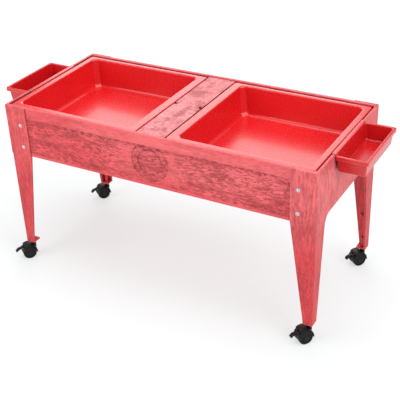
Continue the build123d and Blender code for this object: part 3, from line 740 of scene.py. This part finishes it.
def makeFastenerTree():  # one fastener of unit size on each point, along the point's aim
    tree, given, result = newTree("fasteners", "Places", "Fastener", "Radius", "Height", "Turn", "Seed",
                                  "Finish")
    aim = addNode(tree, "GeometryNodeInputNamedAttribute", {"Name": "aim"}, data_type="FLOAT_VECTOR")
    facing = addNode(tree, "FunctionNodeAlignRotationToVector", {"Vector": aim.outputs[0]}, axis="Z")
    spin = addNode(tree, "FunctionNodeRandomValue", {"Seed": given["Seed"]}, data_type="FLOAT")
    plug(tree, spin.inputs[3], given["Turn"])
    about = addNode(tree, "FunctionNodeAxisAngleToRotation", {"Axis": (0, 0, 1), "Angle": spin.outputs[1]})
    both = addNode(tree, "FunctionNodeRotateRotation",
                   {"Rotation": facing.outputs[0], "Rotate By": about.outputs[0]}, rotation_space="LOCAL")
    size = addNode(tree, "ShaderNodeCombineXYZ",
                   {"X": given["Radius"], "Y": given["Radius"], "Z": given["Height"]})
    shape = addNode(tree, "GeometryNodeObjectInfo", {"Object": given["Fastener"]})
    placed = addNode(tree, "GeometryNodeInstanceOnPoints",
                     {"Points": given["Places"], "Instance": shape.outputs["Geometry"],
                      "Rotation": both.outputs[0], "Scale": size.outputs[0]})
    endTree(tree, given, result, placed.outputs[0])
    return tree


def makeRibTree():  # upright ribs on each point
    tree, given, result = newTree("wallRibs", "Places", "Thickness", "Depth", "Height", "Finish")
    size = addNode(tree, "ShaderNodeCombineXYZ",
                   {"X": given["Thickness"], "Y": given["Depth"], "Z": given["Height"]})
    block = addNode(tree, "GeometryNodeMeshCube", {"Size": size.outputs[0]})
    placed = addNode(tree, "GeometryNodeInstanceOnPoints",
                     {"Points": given["Places"], "Instance": block.outputs["Mesh"]})
    endTree(tree, given, result, placed.outputs[0])
    return tree


def makeSpokeTree():  # short ribs round a hub, in the XY plane
    tree, given, result = newTree("wheelSpokes", "Places", "Count", "Middle", "Length", "Thickness",
                                  "Depth", "Finish")
    circle = addNode(tree, "GeometryNodeMeshCircle",
                     {"Vertices": given["Count"], "Radius": given["Middle"]})
    size = addNode(tree, "ShaderNodeCombineXYZ",
                   {"X": given["Length"], "Y": given["Thickness"], "Z": given["Depth"]})
    block = addNode(tree, "GeometryNodeMeshCube", {"Size": size.outputs[0]})
    outward = addNode(tree, "FunctionNodeAlignRotationToVector",
                      {"Vector": addNode(tree, "GeometryNodeInputPosition").outputs[0]}, axis="X",
                      pivot_axis="Z")
    placed = addNode(tree, "GeometryNodeInstanceOnPoints",
                     {"Points": circle.outputs["Mesh"], "Instance": block.outputs["Mesh"],
                      "Rotation": outward.outputs[0]})
    endTree(tree, given, result, placed.outputs[0])
    return tree


def growMesh(tree, places, aims, values):  # runs a tree on some points and returns the plain mesh
    mesh = bpy.data.meshes.new("places")
    mesh.from_pydata(places, [], [])
    aimed = mesh.attributes.new("aim", "FLOAT_VECTOR", "POINT")
    aimed.data.foreach_set("vector", [c for a in aims for c in a])
    carrier = bpy.data.objects.new("carrier", mesh)
    scene.collection.objects.link(carrier)
    grow = carrier.modifiers.new("grow", "NODES")
    grow.node_group = tree
    sockets = {s.name: s.identifier for s in tree.interface.items_tree if s.in_out == "INPUT"}
    for label, value in values.items():
        grow[sockets[label]] = value
    depsgraph = bpy.context.evaluated_depsgraph_get()
    grown = bpy.data.meshes.new_from_object(carrier.evaluated_get(depsgraph))
    bpy.data.objects.remove(carrier)
    return grown


def solidBoxes(nodeName):  # the box of each separate solid in a CAD node
    bm = bmesh.new()
    bm.from_mesh(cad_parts[nodeName].data)
    bmesh.ops.remove_doubles(bm, verts=bm.verts, dist=1e-6)
    left = set(bm.verts)
    boxes = []
    while left:
        stack = [left.pop()]
        group = []
        while stack:
            v = stack.pop()
            group.append(v.co.copy())
            for edge in v.link_edges:
                other = edge.other_vert(v)
                if other in left:
                    left.remove(other)
                    stack.append(other)
        boxes.append((Vector([min(c[i] for c in group) for i in range(3)]),
                      Vector([max(c[i] for c in group) for i in range(3)])))
    bm.free()
    return sorted(boxes, key=lambda b: tuple(round(c, 5) for c in b[0]))


def unitObject(name, build):  # a fastener of radius 1 and height 1, kept out of the scene
    bm = bmesh.new()
    build(bm)
    bmesh.ops.remove_doubles(bm, verts=bm.verts, dist=1e-5)
    bmesh.ops.recalc_face_normals(bm, faces=bm.faces)
    mesh = bpy.data.meshes.new(name)
    bm.to_mesh(mesh)
    bm.free()
    return bpy.data.objects.new(name, mesh)


def unitLay(x, y, z):
    return Vector((x, y, z))


def domedHead(bm):  # a dome on a thin collar
    dome = [(0.76 * math.cos(a), 0.3 + 0.7 * math.sin(a)) for a in [math.radians(9 * k) for k in range(11)]]
    addRevolved(bm, [(0, -0.1), (1, -0.1), (1, 0.16), (0.95, 0.26), (0.8, 0.3)] + dome, unitLay, 32)


def threadedEnd(bm):
    ridges = [(1 if k % 2 else 0.86, 0.9 * k / 14) for k in range(15)]
    addRevolved(bm, [(0, -0.3), (0.9, -0.3)] + ridges + [(0.7, 1), (0, 1)], unitLay, 20)


def hexNut(bm):
    def ring(radius, z, roundness):
        points = []
        for k in range(24):
            a = math.tau * k / 24
            flat = math.cos(math.radians(30)) / math.cos((a % math.radians(60)) - math.radians(30))
            reach = radius * (flat * (1 - roundness) + 0.9 * roundness)
            points.append(Vector((reach * math.cos(a), reach * math.sin(a), z)))
        return points
    stack = [ring(0.86, 0, 1), ring(1, 0.12, 0), ring(1, 0.88, 0), ring(0.86, 1, 1),
             ring(0.5, 1, 1), ring(0.48, 0.9, 1), ring(0.48, 0.1, 1), ring(0.5, 0, 1)]
    addRings(bm, stack, closeStack=True)


def flatWasher(bm):
    profile = [(0.42, 0), (0.97, 0), (1, 0.3), (1, 0.7), (0.96, 1), (0.44, 1), (0.42, 0.8)]
    addRevolved(bm, profile + profile[:1], unitLay, 32)


def panHead(bm):  # low round head with a socket in it
    addRevolved(bm,
                [(0, -0.3), (0.45, -0.3), (0.45, 0), (1, 0), (1, 0.4), (0.94, 0.72), (0.74, 0.94),
                 (0.42, 1),
                     (0.36, 0.92), (0.34, 0.45), (0, 0.4)], unitLay, 28)


fasteners = {  # node, shape, radius, height; along: how far from the solid's outer end the base stands
    "boltHeads": {"node": "apron_bolts", "shape": domedHead, "radius": 7.2 * mm, "height": 4.4 * mm,
                  "outward": True, "base": 4.0 * mm},
    "boltEnds": {"node": "apron_bolts", "shape": threadedEnd, "radius": 3.0 * mm, "height": 2.5 * mm,
                 "outward": False, "base": 2.5 * mm},
    "apronNuts": {"node": "apron_nuts", "shape": hexNut, "radius": 5.77 * mm, "height": 5.0 * mm,
                  "outward": False, "base": 5.0 * mm},
    "apronWashers": {"node": "apron_washers", "shape": flatWasher, "radius": 8.0 * mm, "height": 1.2 * mm,
                     "outward": False, "base": 1.2 * mm},
    "beamScrews": {"node": "beam_screws", "shape": panHead, "radius": 4.0 * mm, "height": 2.4 * mm,
                   "down": True, "base": 2.4 * mm},
    "plateScrews": {"node": "plate_screws", "shape": panHead, "radius": 4.0 * mm, "height": 2.4 * mm,
                    "down": True, "base": 2.4 * mm},
}
fastenerSeed = 7


def buildFasteners(name, tree):
    s = fasteners[name]
    places, aims = [], []
    for low, high in solidBoxes(s["node"]):
        middle = (low + high) / 2
        if s.get("down"):
            places.append((middle.x, middle.y, low.z + s["base"]))
            aims.append((0, 0, -1))
            continue
        end = -1 if middle.y < midY else 1
        if not s["outward"]:
            tip = high.y if end < 0 else low.y
            places.append((middle.x, tip + end * s["base"], middle.z))
            aims.append((0, -end, 0))
        else:
            tip = low.y if end < 0 else high.y
            places.append((middle.x, tip - end * s["base"], middle.z))
            aims.append((0, end, 0))
    shape = unitObject(name + "Unit", s["shape"])
    scene.collection.objects.link(shape)
    mesh = growMesh(tree, places, aims, {
        "Fastener": shape, "Radius": s["radius"], "Height": s["height"], "Turn": math.tau,
        "Seed": fastenerSeed, "Finish": zincPlate})
    bpy.data.objects.remove(shape)
    replaced = () if name == "boltEnds" else (s["node"],)
    finishMesh(name, mesh, "frame", replaced, sharp=35)


def buildRibs(tree, hand, back, inward, low, high):
    a = apron
    level = (low + high) / 2
    depth = a["skirt"] - 1 * mm
    places = [(x, back + inward * depth / 2, level) for x in a["ribPlaces"]]
    mesh = growMesh(tree, places, [(0, 0, 1)] * len(places), {
        "Thickness": a["ribThickness"], "Depth": depth + 1 * mm, "Height": high - low + 1 * mm,
        "Finish": apronMarble})
    finishMesh(f"{hand}ApronRibs", mesh, "frame", (), 0.8 * mm)


# Bridge: a channel beam with brims, and the plate on it.
bridge = {
    "beamHalf": 40 * mm, "beamWall": 4 * mm, "brimHalf": 82 * mm, "brimTop": 617 * mm,
    "brimThickness": 6 * mm, "brimNotchHalf": 11 * mm, "brimNotchReach": 72 * mm,
    "notchHalf": 7 * mm, "notchDepth": 12 * mm, "notchRound": 2.5 * mm, "corner": 3 * mm, "edge": 1.8 * mm,
}


def buildBeam():
    b = bridge
    low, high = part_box("bridge_beam")
    brimLow = b["brimTop"] - b["brimThickness"]
    inner = b["beamHalf"] - b["beamWall"]
    half = [(b["beamHalf"], low.z), (b["beamHalf"], brimLow), (b["brimHalf"], brimLow),
            (b["brimHalf"], b["brimTop"]), (b["beamHalf"], b["brimTop"]), (b["beamHalf"], high.z)]
    corners = half + [(-x, z) for x, z in reversed(half)]
    corners += [(-inner, low.z), (-inner, high.z - b["beamWall"]), (inner, high.z - b["beamWall"]),
                (inner, low.z)]
    profile = roundPath(corners, [0.9 * mm] * len(corners), 2, True)
    notch = b["brimNotchHalf"]
    stations = [low.y, midY - notch - 0.5 * mm, midY - notch, midY + notch, midY + notch + 0.5 * mm, high.y]

    def lay(y, p):
        x, z = p
        if abs(y - midY) < notch + slack and abs(x) > b["brimNotchReach"] - 30 * mm:
            x = math.copysign(b["beamHalf"] + 0.5 * mm, x)  # finger room in both brims
        return Vector((x, y, z))

    bm = bmesh.new()
    addProfile(bm, profile, stations, lay)
    finishPiece("bridgeBeam", bm, [endMarble], "frame", ("bridge_beam",))


def buildPlate():
    b = bridge
    low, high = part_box("bridge_plate")
    n, d = b["notchHalf"], b["notchDepth"]
    corners = [(low.x, low.y), (high.x, low.y), (high.x, midY - n), (high.x - d, midY - n),
               (high.x - d, midY + n), (high.x, midY + n), (high.x, high.y), (low.x, high.y),
               (low.x, midY + n), (low.x + d, midY + n), (low.x + d, midY - n), (low.x, midY - n)]
    r, c = b["notchRound"], b["corner"]
    outline = roundPath(corners, [c, c, r, r, r, r, c, c, r, r, r, r], 4, True)
    bm = bmesh.new()
    addRings(bm, [[Vector((p.x, p.y, z)) for p in outline] for z in (low.z, high.z)], True, True)
    finishPiece("bridgePlate", bm, [bridgeMarble], "frame", ("bridge_plate",), b["edge"])


# Tubs and trays: one sheet each, rolled at the rim.
def sheetStack(outer, opening, lip, well, floorRings, sheet):
    # outer and opening give an outline for an inset. lip and well are the rim's and the basin's measures.
    top, drop, roll = lip["top"], lip["drop"], lip["roll"]
    lean, floor, floorRound, mouth = well["lean"], well["floor"], well["round"], well["mouth"]
    rings = []

    def put(outline, path):
        for inset, z in path:
            rings.append([Vector((p.x, p.y, z)) for p in outline(inset)])

    put(outer, roundPath([(sheet, top - drop), (0, top - drop), (0, top), (roll + 0.2 * mm, top)],
                         [0, 0.8 * mm, roll, 0], 5))
    put(opening,
        roundPath([(-mouth - 1 * mm, top), (0, top), (lean, floor), (lean + 4 * floorRound, floor)],
                           [0, mouth, floorRound, 0], 6))
    for inset, dip in floorRings:
        rings.append([Vector((p.x, p.y, floor - dip)) for p in opening(inset)])
    middle = len(rings)
    for inset, dip in reversed(floorRings):
        rings.append([Vector((p.x, p.y, floor - dip - sheet)) for p in opening(inset)])
    under = roundPath([(lean + 4 * floorRound, floor - sheet), (lean - sheet, floor - sheet),
                       (-sheet, top - sheet), (-sheet - 2 * mm, top - sheet)],
                       [0, floorRound + sheet, 1 * mm, 0], 6)
    put(opening, under)
    put(outer, [(sheet, top - sheet)])
    return rings, middle


def addSheet(bm, rings, middle):
    # The stack closes on itself, apart from the floor's two caps in the middle.
    addRings(bm, rings[:middle], capLast=True)
    addRings(bm, rings[middle:], capFirst=True)
    addRings(bm, [rings[-1], rings[0]])


tub = {
    "sheet": 4 * mm, "drop": 9.6 * mm, "roll": 3.2 * mm, "mouth": 4.5 * mm, "rimCorner": 9 * mm,
    "bridgeRim": 33 * mm, "endRim": 23 * mm, "frontRim": 23 * mm, "rearRim": 17 * mm,
    "lean": 13 * mm, "floorRound": 14 * mm, "cornerCut": 17 * mm, "cornerRound": 3 * mm,
    "mouthRound": 16 * mm,
    "floorRings": ((70 * mm, 0.2 * mm), (110 * mm, 0.6 * mm), (150 * mm, 0.9 * mm), (190 * mm, 1.0 * mm)),
}


def buildTub(side, hand):
    t = tub
    low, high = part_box(f"{hand}_tub")
    x0 = low.x + (t["endRim"] if side < 0 else t["bridgeRim"])
    x1 = high.x - (t["bridgeRim"] if side < 0 else t["endRim"])
    y0, y1 = low.y + t["frontRim"], high.y - t["rearRim"]

    def outer(inset):
        corner = max(t["rimCorner"] - inset, 1 * mm)
        return boxOutline(low.x + inset, high.x - inset, low.y + inset, high.y - inset, corner, corner)

    def opening(inset):  # round at the mouth, cut across further down
        share = smooth((inset + 2 * mm) / (3.2 * mm))
        rounding = t["mouthRound"] + (t["cornerRound"] - t["mouthRound"]) * share
        return boxOutline(x0 + inset, x1 - inset, y0 + inset, y1 - inset, t["cornerCut"], rounding)

    lip = {"top": high.z, "drop": t["drop"], "roll": t["roll"]}
    well = {"lean": t["lean"], "floor": low.z + t["sheet"], "round": t["floorRound"], "mouth": t["mouth"]}
    bm = bmesh.new()
    addSheet(bm, *sheetStack(outer, opening, lip, well, t["floorRings"], t["sheet"]))
    finishPiece(f"{hand}Tub", bm, [tubGloss], f"{hand}_tub", (f"{hand}_tub",))


tray = {
    "sheet": 3 * mm, "drop": 13 * mm, "roll": 2.4 * mm, "mouth": 3.0 * mm, "rimCorner": 6 * mm,
    "gap": 1 * mm, "half": 133 * mm, "rim": 9 * mm, "nearRim": 3 * mm, "top": 624 * mm,
    "lean": 5 * mm, "floorRound": 5 * mm, "corner": 8 * mm, "cornerRound": 7 * mm,
    "floorRings": ((28 * mm, 0.1 * mm), (34 * mm, 0.2 * mm)),
    "hookHalf": 129 * mm, "hookClearance": 0.6 * mm, "hookSheet": 3.4 * mm, "hookDrop": 12 * mm,
}


def buildTray(side, hand):
    t = tray
    low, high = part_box(f"{hand}_tray")
    near = side * (endX + t["gap"])
    far = low.x if side < 0 else high.x
    left, right = sorted((near, far))
    front, back = midY - t["half"], midY + t["half"]
    openLeft = left + (t["rim"] if side < 0 else t["nearRim"])
    openRight = right - (t["nearRim"] if side < 0 else t["rim"])

    def outer(inset):
        corner = max(t["rimCorner"] - inset, 1 * mm)
        return boxOutline(left + inset, right - inset, front + inset, back - inset, corner, corner)

    def opening(inset):
        return boxOutline(openLeft + inset, openRight - inset, front + t["rim"] + inset,
                          back - t["rim"] - inset, t["corner"], t["cornerRound"])

    lip = {"top": t["top"], "drop": t["drop"], "roll": t["roll"]}
    well = {"lean": t["lean"], "floor": low.z + t["sheet"], "round": t["floorRound"], "mouth": t["mouth"]}
    bm = bmesh.new()
    addSheet(bm, *sheetStack(outer, opening, lip, well, t["floorRings"], t["sheet"]))

    inner = side * (endX - endFrame["wall"] - t["hookClearance"] - t["hookSheet"])
    over = frameTop
    under = over - t["hookSheet"]
    step = side * t["hookSheet"]
    corners = [(near, t["top"] - 6 * mm), (near, under), (inner + step, under),
               (inner + step, frameTop - t["hookDrop"]), (inner, frameTop - t["hookDrop"]), (inner, over),
               (near + step, over), (near + step, t["top"] - 6 * mm)]
    hook = roundPath(corners, [r * mm for r in (0, 1.0, 1.0, 1.2, 1.2, 3.2, 3.2, 0)], 4, True)
    half = t["hookHalf"]
    addProfile(bm, hook, [midY - half, midY + half], lambda y, p: Vector((p.x, y, p.y)))
    finishPiece(f"{hand}Tray", bm, [trayGloss], f"{hand}_tray", (f"{hand}_tray",), 0.9 * mm, 2)


# Casters are built round the hub: u the way they trail, v along the axle, w up.
caster = {
    "gap": 5 * mm, "width": 17.5 * mm, "faceInner": 19.5 * mm, "hub": 8 * mm, "dish": 2.5 * mm,
    "bore": 3.05 * mm, "axleHalf": 21 * mm, "spokes": 9, "spokeThickness": 1.3 * mm, "spokeDepth": 1.8 * mm,
    "hoodInner": 26.5 * mm, "hoodOuter": 29.5 * mm, "hoodHalf": 21 * mm, "hoodStart": 52, "hoodEnd": 188,
    "crown": 0.9 * mm, "lip": 1.6 * mm, "webRadius": 23 * mm, "webHalf": 4 * mm,
    "bossRadius": 9 * mm, "bossLow": 13 * mm, "bossTop": 38.5 * mm,
    "pivotReach": 30.5 * mm, "pivotAngle": 38, "earRadius": 4 * mm, "earInner": 6 * mm,
    "earWidth": 3.5 * mm, "leverHalf": 5.5 * mm, "padHalf": 7.4 * mm, "knuckle": 3.6 * mm,
    "leverSteps": 30, "ridge": 0.45 * mm,
}


def casterPlace(corner):
    stemLow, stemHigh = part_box(f"{corner}_caster_stem")
    axleLow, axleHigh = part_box(f"{corner}_caster_axle")
    stem, hub = (stemLow + stemHigh) / 2, (axleLow + axleHigh) / 2
    trail = Vector((hub.x - stem.x, hub.y - stem.y, 0))
    offset = trail.length
    trail.normalize()
    across = Vector((trail.y, -trail.x, 0))
    turn = Matrix((trail, across, Vector((0, 0, 1)))).transposed().to_4x4()
    return Matrix.Translation(hub) @ turn, hub.z, offset


def polar(radius, degrees):
    return Vector((radius * math.cos(math.radians(degrees)), radius * math.sin(math.radians(degrees))))


def buildWheel(corner, face, hand, place, radius):
    c = caster
    inner, outer = c["gap"], c["gap"] + c["width"]
    boreEnd = c["axleHalf"] + 0.5 * mm
    dished = outer - c["dish"]
    groove = (inner + outer) / 2
    corners = [(0, boreEnd), (c["bore"], boreEnd), (c["bore"], inner), (radius, inner),
               (radius, groove - 1 * mm), (radius - 0.5 * mm, groove - 0.5 * mm),
               (radius - 0.5 * mm, groove + 0.5 * mm), (radius, groove + 1 * mm), (radius, outer),
               (c["faceInner"], outer), (c["faceInner"] - 0.5 * mm, dished),
               (c["hub"] + 0.6 * mm, dished), (c["hub"], outer - 0.2 * mm),
               (c["hub"] * 0.45, outer - 0.05 * mm), (c["hub"] * 0.4, outer - 0.8 * mm),
               (0, outer - 0.8 * mm)]
    radii = [0, 0, 0.4, 3, 0.3, 0.2, 0.2, 0.3, 3, 0.6, 0.6, 0.6, 0.9, 0.3, 0.2, 0]
    profile = roundPath(corners, [r * mm for r in radii], 3)

    def lay(a, b, v):
        return place @ Vector((a, face * v, b))

    bm = bmesh.new()
    addRevolved(bm, profile, lay, 56)
    hub = place.translation
    axle = place.col[1].xyz
    for f in bm.faces:
        arm = f.calc_center_median() - hub
        f.material_index = 1 if (arm - axle * arm.dot(axle)).length > c["faceInner"] else 0
    name = f"{corner}Wheel{hand.title()}"
    finishPiece(name, bm, [nylonBlack, tyreBlack], f"{corner}_wheel_{hand}",
                (f"{corner}_caster_wheel_{hand}",), sharp=40)
    length = c["faceInner"] - c["hub"]
    spokes = growMesh(spokeTree, [(0, 0, 0)], [(0, 0, 1)], {
        "Count": c["spokes"], "Middle": c["hub"] + length / 2, "Length": length,
        "Thickness": c["spokeThickness"], "Depth": c["spokeDepth"], "Finish": nylonBlack})
    raised = Matrix(((1, 0, 0, 0), (0, 0, face, face * (dished + c["spokeDepth"] / 2 - 0.2 * mm)),
                     (0, 1, 0, 0), (0, 0, 0, 1)))
    spokes.transform(place @ raised)
    if (place @ raised).determinant() < 0:
        spokes.flip_normals()
    finishMesh(name + "Spokes", spokes, f"{corner}_wheel_{hand}", (), 0.35 * mm, 2)


def buildHood(corner, place, offset):
    c = caster
    bm = bmesh.new()
    half = c["hoodHalf"]
    edge = 1.1 * mm
    thick = c["hoodOuter"] - c["hoodInner"]
    section = roundPath([(0, -half), (0, half), (thick, half), (thick + c["crown"], half * 0.45),
                         (thick + c["crown"], -half * 0.45), (thick, -half)],
                        [edge, edge, edge, 12 * mm, 12 * mm, edge], 4, True)
    turnBy = 4
    angles = list(range(c["hoodStart"], c["hoodEnd"] + 1, turnBy))

    def layShell(angle, p):
        lip = c["lip"] * smooth((angle - c["hoodEnd"] + 10) / 10)
        grow = 1 + lip / thick * (1 if p.x > thick / 2 else 0)
        r = c["hoodInner"] + p.x * grow
        flat = polar(r, angle)
        return place @ Vector((flat.x, p.y, flat.y))

    addProfile(bm, section, angles, layShell)
    outline = [polar(c["hoodInner"] + 0.8 * mm if c["hoodStart"] <= a <= c["hoodEnd"] else c["webRadius"],
                     a)
               for a in range(0, 360, turnBy)]
    stack = []
    for v, inset in ((-1.0, 0.8 * mm), (-0.8, 0), (0.8, 0), (1.0, 0.8 * mm)):
        ring = [p * (1 - inset / p.length) for p in outline]
        stack.append([place @ Vector((p.x, v * c["webHalf"], p.y)) for p in ring])
    addRings(bm, stack, True, True)
    hubRing = roundPath([(0, 4.6 * mm), (6.5 * mm, 4.6 * mm), (6.5 * mm, -4.6 * mm), (0, -4.6 * mm)],
                        [0, 0.6 * mm, 0.6 * mm, 0], 2)
    addRevolved(bm, hubRing, lambda a, b, v: place @ Vector((a, v, b)), 28)

    bossPath = roundPath([(0, c["bossLow"]), (c["bossRadius"], c["bossLow"]),
                          (c["bossRadius"], c["bossTop"] - 6 * mm),
                          (c["bossRadius"] - 1.2 * mm, c["bossTop"]), (0, c["bossTop"])],
                          [0, 0, 2 * mm, 1.4 * mm, 0], 4)

    def layBoss(a, b, w):
        u = a - offset
        shell = math.sqrt(max((c["hoodInner"] + 1 * mm) ** 2 - u * u, 0))  # the boss starts on the shell
        return place @ Vector((u, b, max(w, shell)))

    addRevolved(bm, bossPath, layBoss, 36)
    pivot = polar(c["pivotReach"], c["pivotAngle"])
    ear = [pivot + polar(c["earRadius"], a) for a in range(-150, 31, 15)]
    ear += [polar(c["hoodOuter"], 58), polar(c["hoodInner"] + 0.6 * mm, 60),
            polar(c["hoodInner"] + 0.6 * mm, 53)]
    for face in (-1, 1):
        levels = [face * (c["earInner"] + c["earWidth"] * t) for t in (0, 1)]
        addRings(bm, [[place @ Vector((p.x, v, p.y)) for p in ear] for v in levels], True, True)
    finishPiece(f"{corner}CasterHood", bm, [nylonBlack], f"{corner}_swivel",
                (f"{corner}_caster_hood",), 0.5 * mm, 2)


def bezier(points, t):
    a, b, c, d = [Vector(p) for p in points]
    s = 1 - t
    return a * s ** 3 + b * 3 * s * s * t + c * 3 * s * t * t + d * t ** 3


leverTop = [(23.0 * mm, 22.3 * mm), (33 * mm, 22.6 * mm), (43.5 * mm, 18.5 * mm), (49.5 * mm, 8.4 * mm)]
leverBottom = [(22.0 * mm, 15.6 * mm), (31 * mm, 15.4 * mm), (40 * mm, 13.0 * mm), (45.4 * mm, 7.0 * mm)]


def buildLever(corner, place):
    c = caster
    bm = bmesh.new()
    rings = []
    steps = c["leverSteps"]
    for i in range(steps + 1):
        t = i / steps
        top, bottom = bezier(leverTop, t), bezier(leverBottom, t)
        width = c["leverHalf"] + (c["padHalf"] - c["leverHalf"]) * smooth((t - 0.35) / 0.25)
        if t > 0.45:  # grip ridges across the pad
            top = top + (top - bottom).normalized() * c["ridge"] * (0.5 - 0.5 * math.cos(t * 60))
        down = top - bottom
        thick = down.length
        soft = min(1.6 * mm, thick * 0.42)
        section = roundPath([(-width, 0), (width, 0), (width, thick), (-width, thick)], [soft] * 4, 3, True)
        down.normalize()
        flat = [(bottom + down * p.y, p.x) for p in section]
        rings.append([place @ Vector((q.x, v, q.y)) for q, v in flat])
    addRings(bm, rings, True, True)
    pivot = polar(c["pivotReach"], c["pivotAngle"])
    half = c["leverHalf"]
    knuckle = roundPath([(0, -half), (c["knuckle"], -half), (c["knuckle"], half), (0, half)],
                        [0, 0.5 * mm, 0.5 * mm, 0], 2)
    addRevolved(bm, knuckle, lambda a, b, v: place @ Vector((pivot.x + a, v, pivot.y + b)), 28)
    finishPiece(f"{corner}BrakeLever", bm, [nylonBlack], f"{corner}_lever",
                (f"{corner}_caster_brake_lever",), 0.4 * mm, 2)


endMarble = makeMarbled("endMarble")
apronMarble = makeMarbled("apronMarble")
bridgeMarble = makeMarbled("bridgeMarble")
tubGloss = makeGlossy("tubGloss")
trayGloss = makeGlossy("trayGloss")
zincPlate = makeZinc()
nylonBlack = makeBlack("nylonBlack")
tyreBlack = makeBlack("tyreBlack")
print("finishes made")

fastenerTree, ribTree, spokeTree = makeFastenerTree(), makeRibTree(), makeSpokeTree()
for side, hand in hands:
    buildEndFrame(side, hand)
    buildTub(side, hand)
    buildTray(side, hand)
for end, hand in ends:
    buildRibs(ribTree, hand, *buildApron(end, hand))
buildBeam()
buildPlate()
for name in fasteners:
    buildFasteners(name, fastenerTree)
print("table built")

for corner in casterCorners:
    place, radius, offset = casterPlace(corner)
    buildHood(corner, place, offset)
    buildLever(corner, place)
    for face, hand in ((-1, "left"), (1, "right")):
        buildWheel(corner, face, hand, place, radius)
print("casters built")

keptNodes = {"stem_sockets": endMarble}
for corner in casterCorners:
    for part in ("stem", "axle", "lever_pin"):
        keptNodes[f"{corner}_caster_{part}"] = zincPlate
for nodeName, material in keptNodes.items():
    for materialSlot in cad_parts[nodeName].material_slots:
        materialSlot.material = material


# Floor, lights and camera.
studio = {
    "floorHalf": 30.0, "floorFade": (1.3, 3.6), "floorTones": ("#9ea5a5", "#a2a9a9"), "floorGlow": 0.574,
    "world": 0.42,
    "key": {"place": (3.4, -1.0, 2.6), "size": 2.4, "power": 70},
    "fill": {"place": (-2.4, -3.4, 2.2), "size": 3.0, "power": 80},
    "top": {"place": (0.2, 0.2, 3.8), "size": 2.6, "power": 78},
    "back": {"place": (-1.6, 2.9, 2.4), "size": 2.4, "power": 42},
    "aim": (0.0, 0.0, 0.4),
}


def makeFloor():
    material, tree, shader, place = newMaterial("paleFloor")
    cloudy = noiseValue(tree, place, 1.2, 2.0, 0.4)
    plug(tree, shader.inputs["Base Color"],
         mixTone(tree, cloudy, *[tone(code) for code in studio["floorTones"]]))
    shader.inputs["Emission Color"].default_value = (1, 1, 1, 1)
    away = addNode(tree, "ShaderNodeVectorMath", {0: place}, operation="LENGTH").outputs["Value"]
    near, far = studio["floorFade"]
    plug(tree, shader.inputs["Emission Strength"], remap(tree, away, near, far, studio["floorGlow"], 1.05))
    plug(tree, shader.inputs["Roughness"], remap(tree, cloudy, 0.3, 0.7, 0.8, 0.9))
    shader.inputs["Specular IOR Level"].default_value = 0.2
    half = studio["floorHalf"]
    mesh = bpy.data.meshes.new("floor")
    mesh.from_pydata([(-half, -half, 0), (half, -half, 0), (half, half, 0), (-half, half, 0)], [],
                     [(0, 1, 2, 3)])
    mesh.materials.append(material)
    floor = bpy.data.objects.new("floor", mesh)
    scene.collection.objects.link(floor)


def makeLight(name):
    s = studio[name]
    light = bpy.data.lights.new(name, "AREA")
    light.size = s["size"]
    light.energy = s["power"]
    lamp = bpy.data.objects.new(name, light)
    lamp.location = s["place"]
    lamp.rotation_euler = (Vector(studio["aim"]) - lamp.location).to_track_quat("-Z", "Y").to_euler()
    scene.collection.objects.link(lamp)


def makeWorld():
    world = bpy.data.worlds.new("studioWorld")
    scene.world = world
    world.use_nodes = True
    tree = world.node_tree
    tree.nodes.clear()
    out = addNode(tree, "ShaderNodeOutputWorld")
    seen = addNode(tree, "ShaderNodeLightPath").outputs["Is Camera Ray"]
    strength = calc(tree, "MAXIMUM", seen, studio["world"])
    paper = addNode(tree, "ShaderNodeBackground", {"Color": (1, 1, 1, 1), "Strength": strength})
    tree.links.new(paper.outputs[0], out.inputs["Surface"])


cameraSettings = {
    "place": (1.4122, -2.3422, 1.8718), "turn": -30.35, "tilt": 30.522, "roll": -2.492, "lens": 79.26,
}


def makeCamera():
    s = cameraSettings
    camera = bpy.data.cameras.new("camera")
    camera.lens = s["lens"]
    camera.sensor_width = 36
    camera.clip_start = 0.05
    camera.clip_end = 60
    turn = Matrix.Rotation(math.radians(-s["turn"]), 4, "Z")
    tilt = Matrix.Rotation(math.radians(90 - s["tilt"]), 4, "X")
    roll = Matrix.Rotation(math.radians(s["roll"]), 4, "Z")
    stand = bpy.data.objects.new("camera", camera)
    stand.matrix_world = Matrix.Translation(s["place"]) @ turn @ tilt @ roll
    scene.collection.objects.link(stand)
    scene.camera = stand


makeFloor()
for name in ("key", "fill", "top", "back"):
    makeLight(name)
makeWorld()
makeCamera()
scene.view_settings.view_transform = "Standard"
print("studio set")
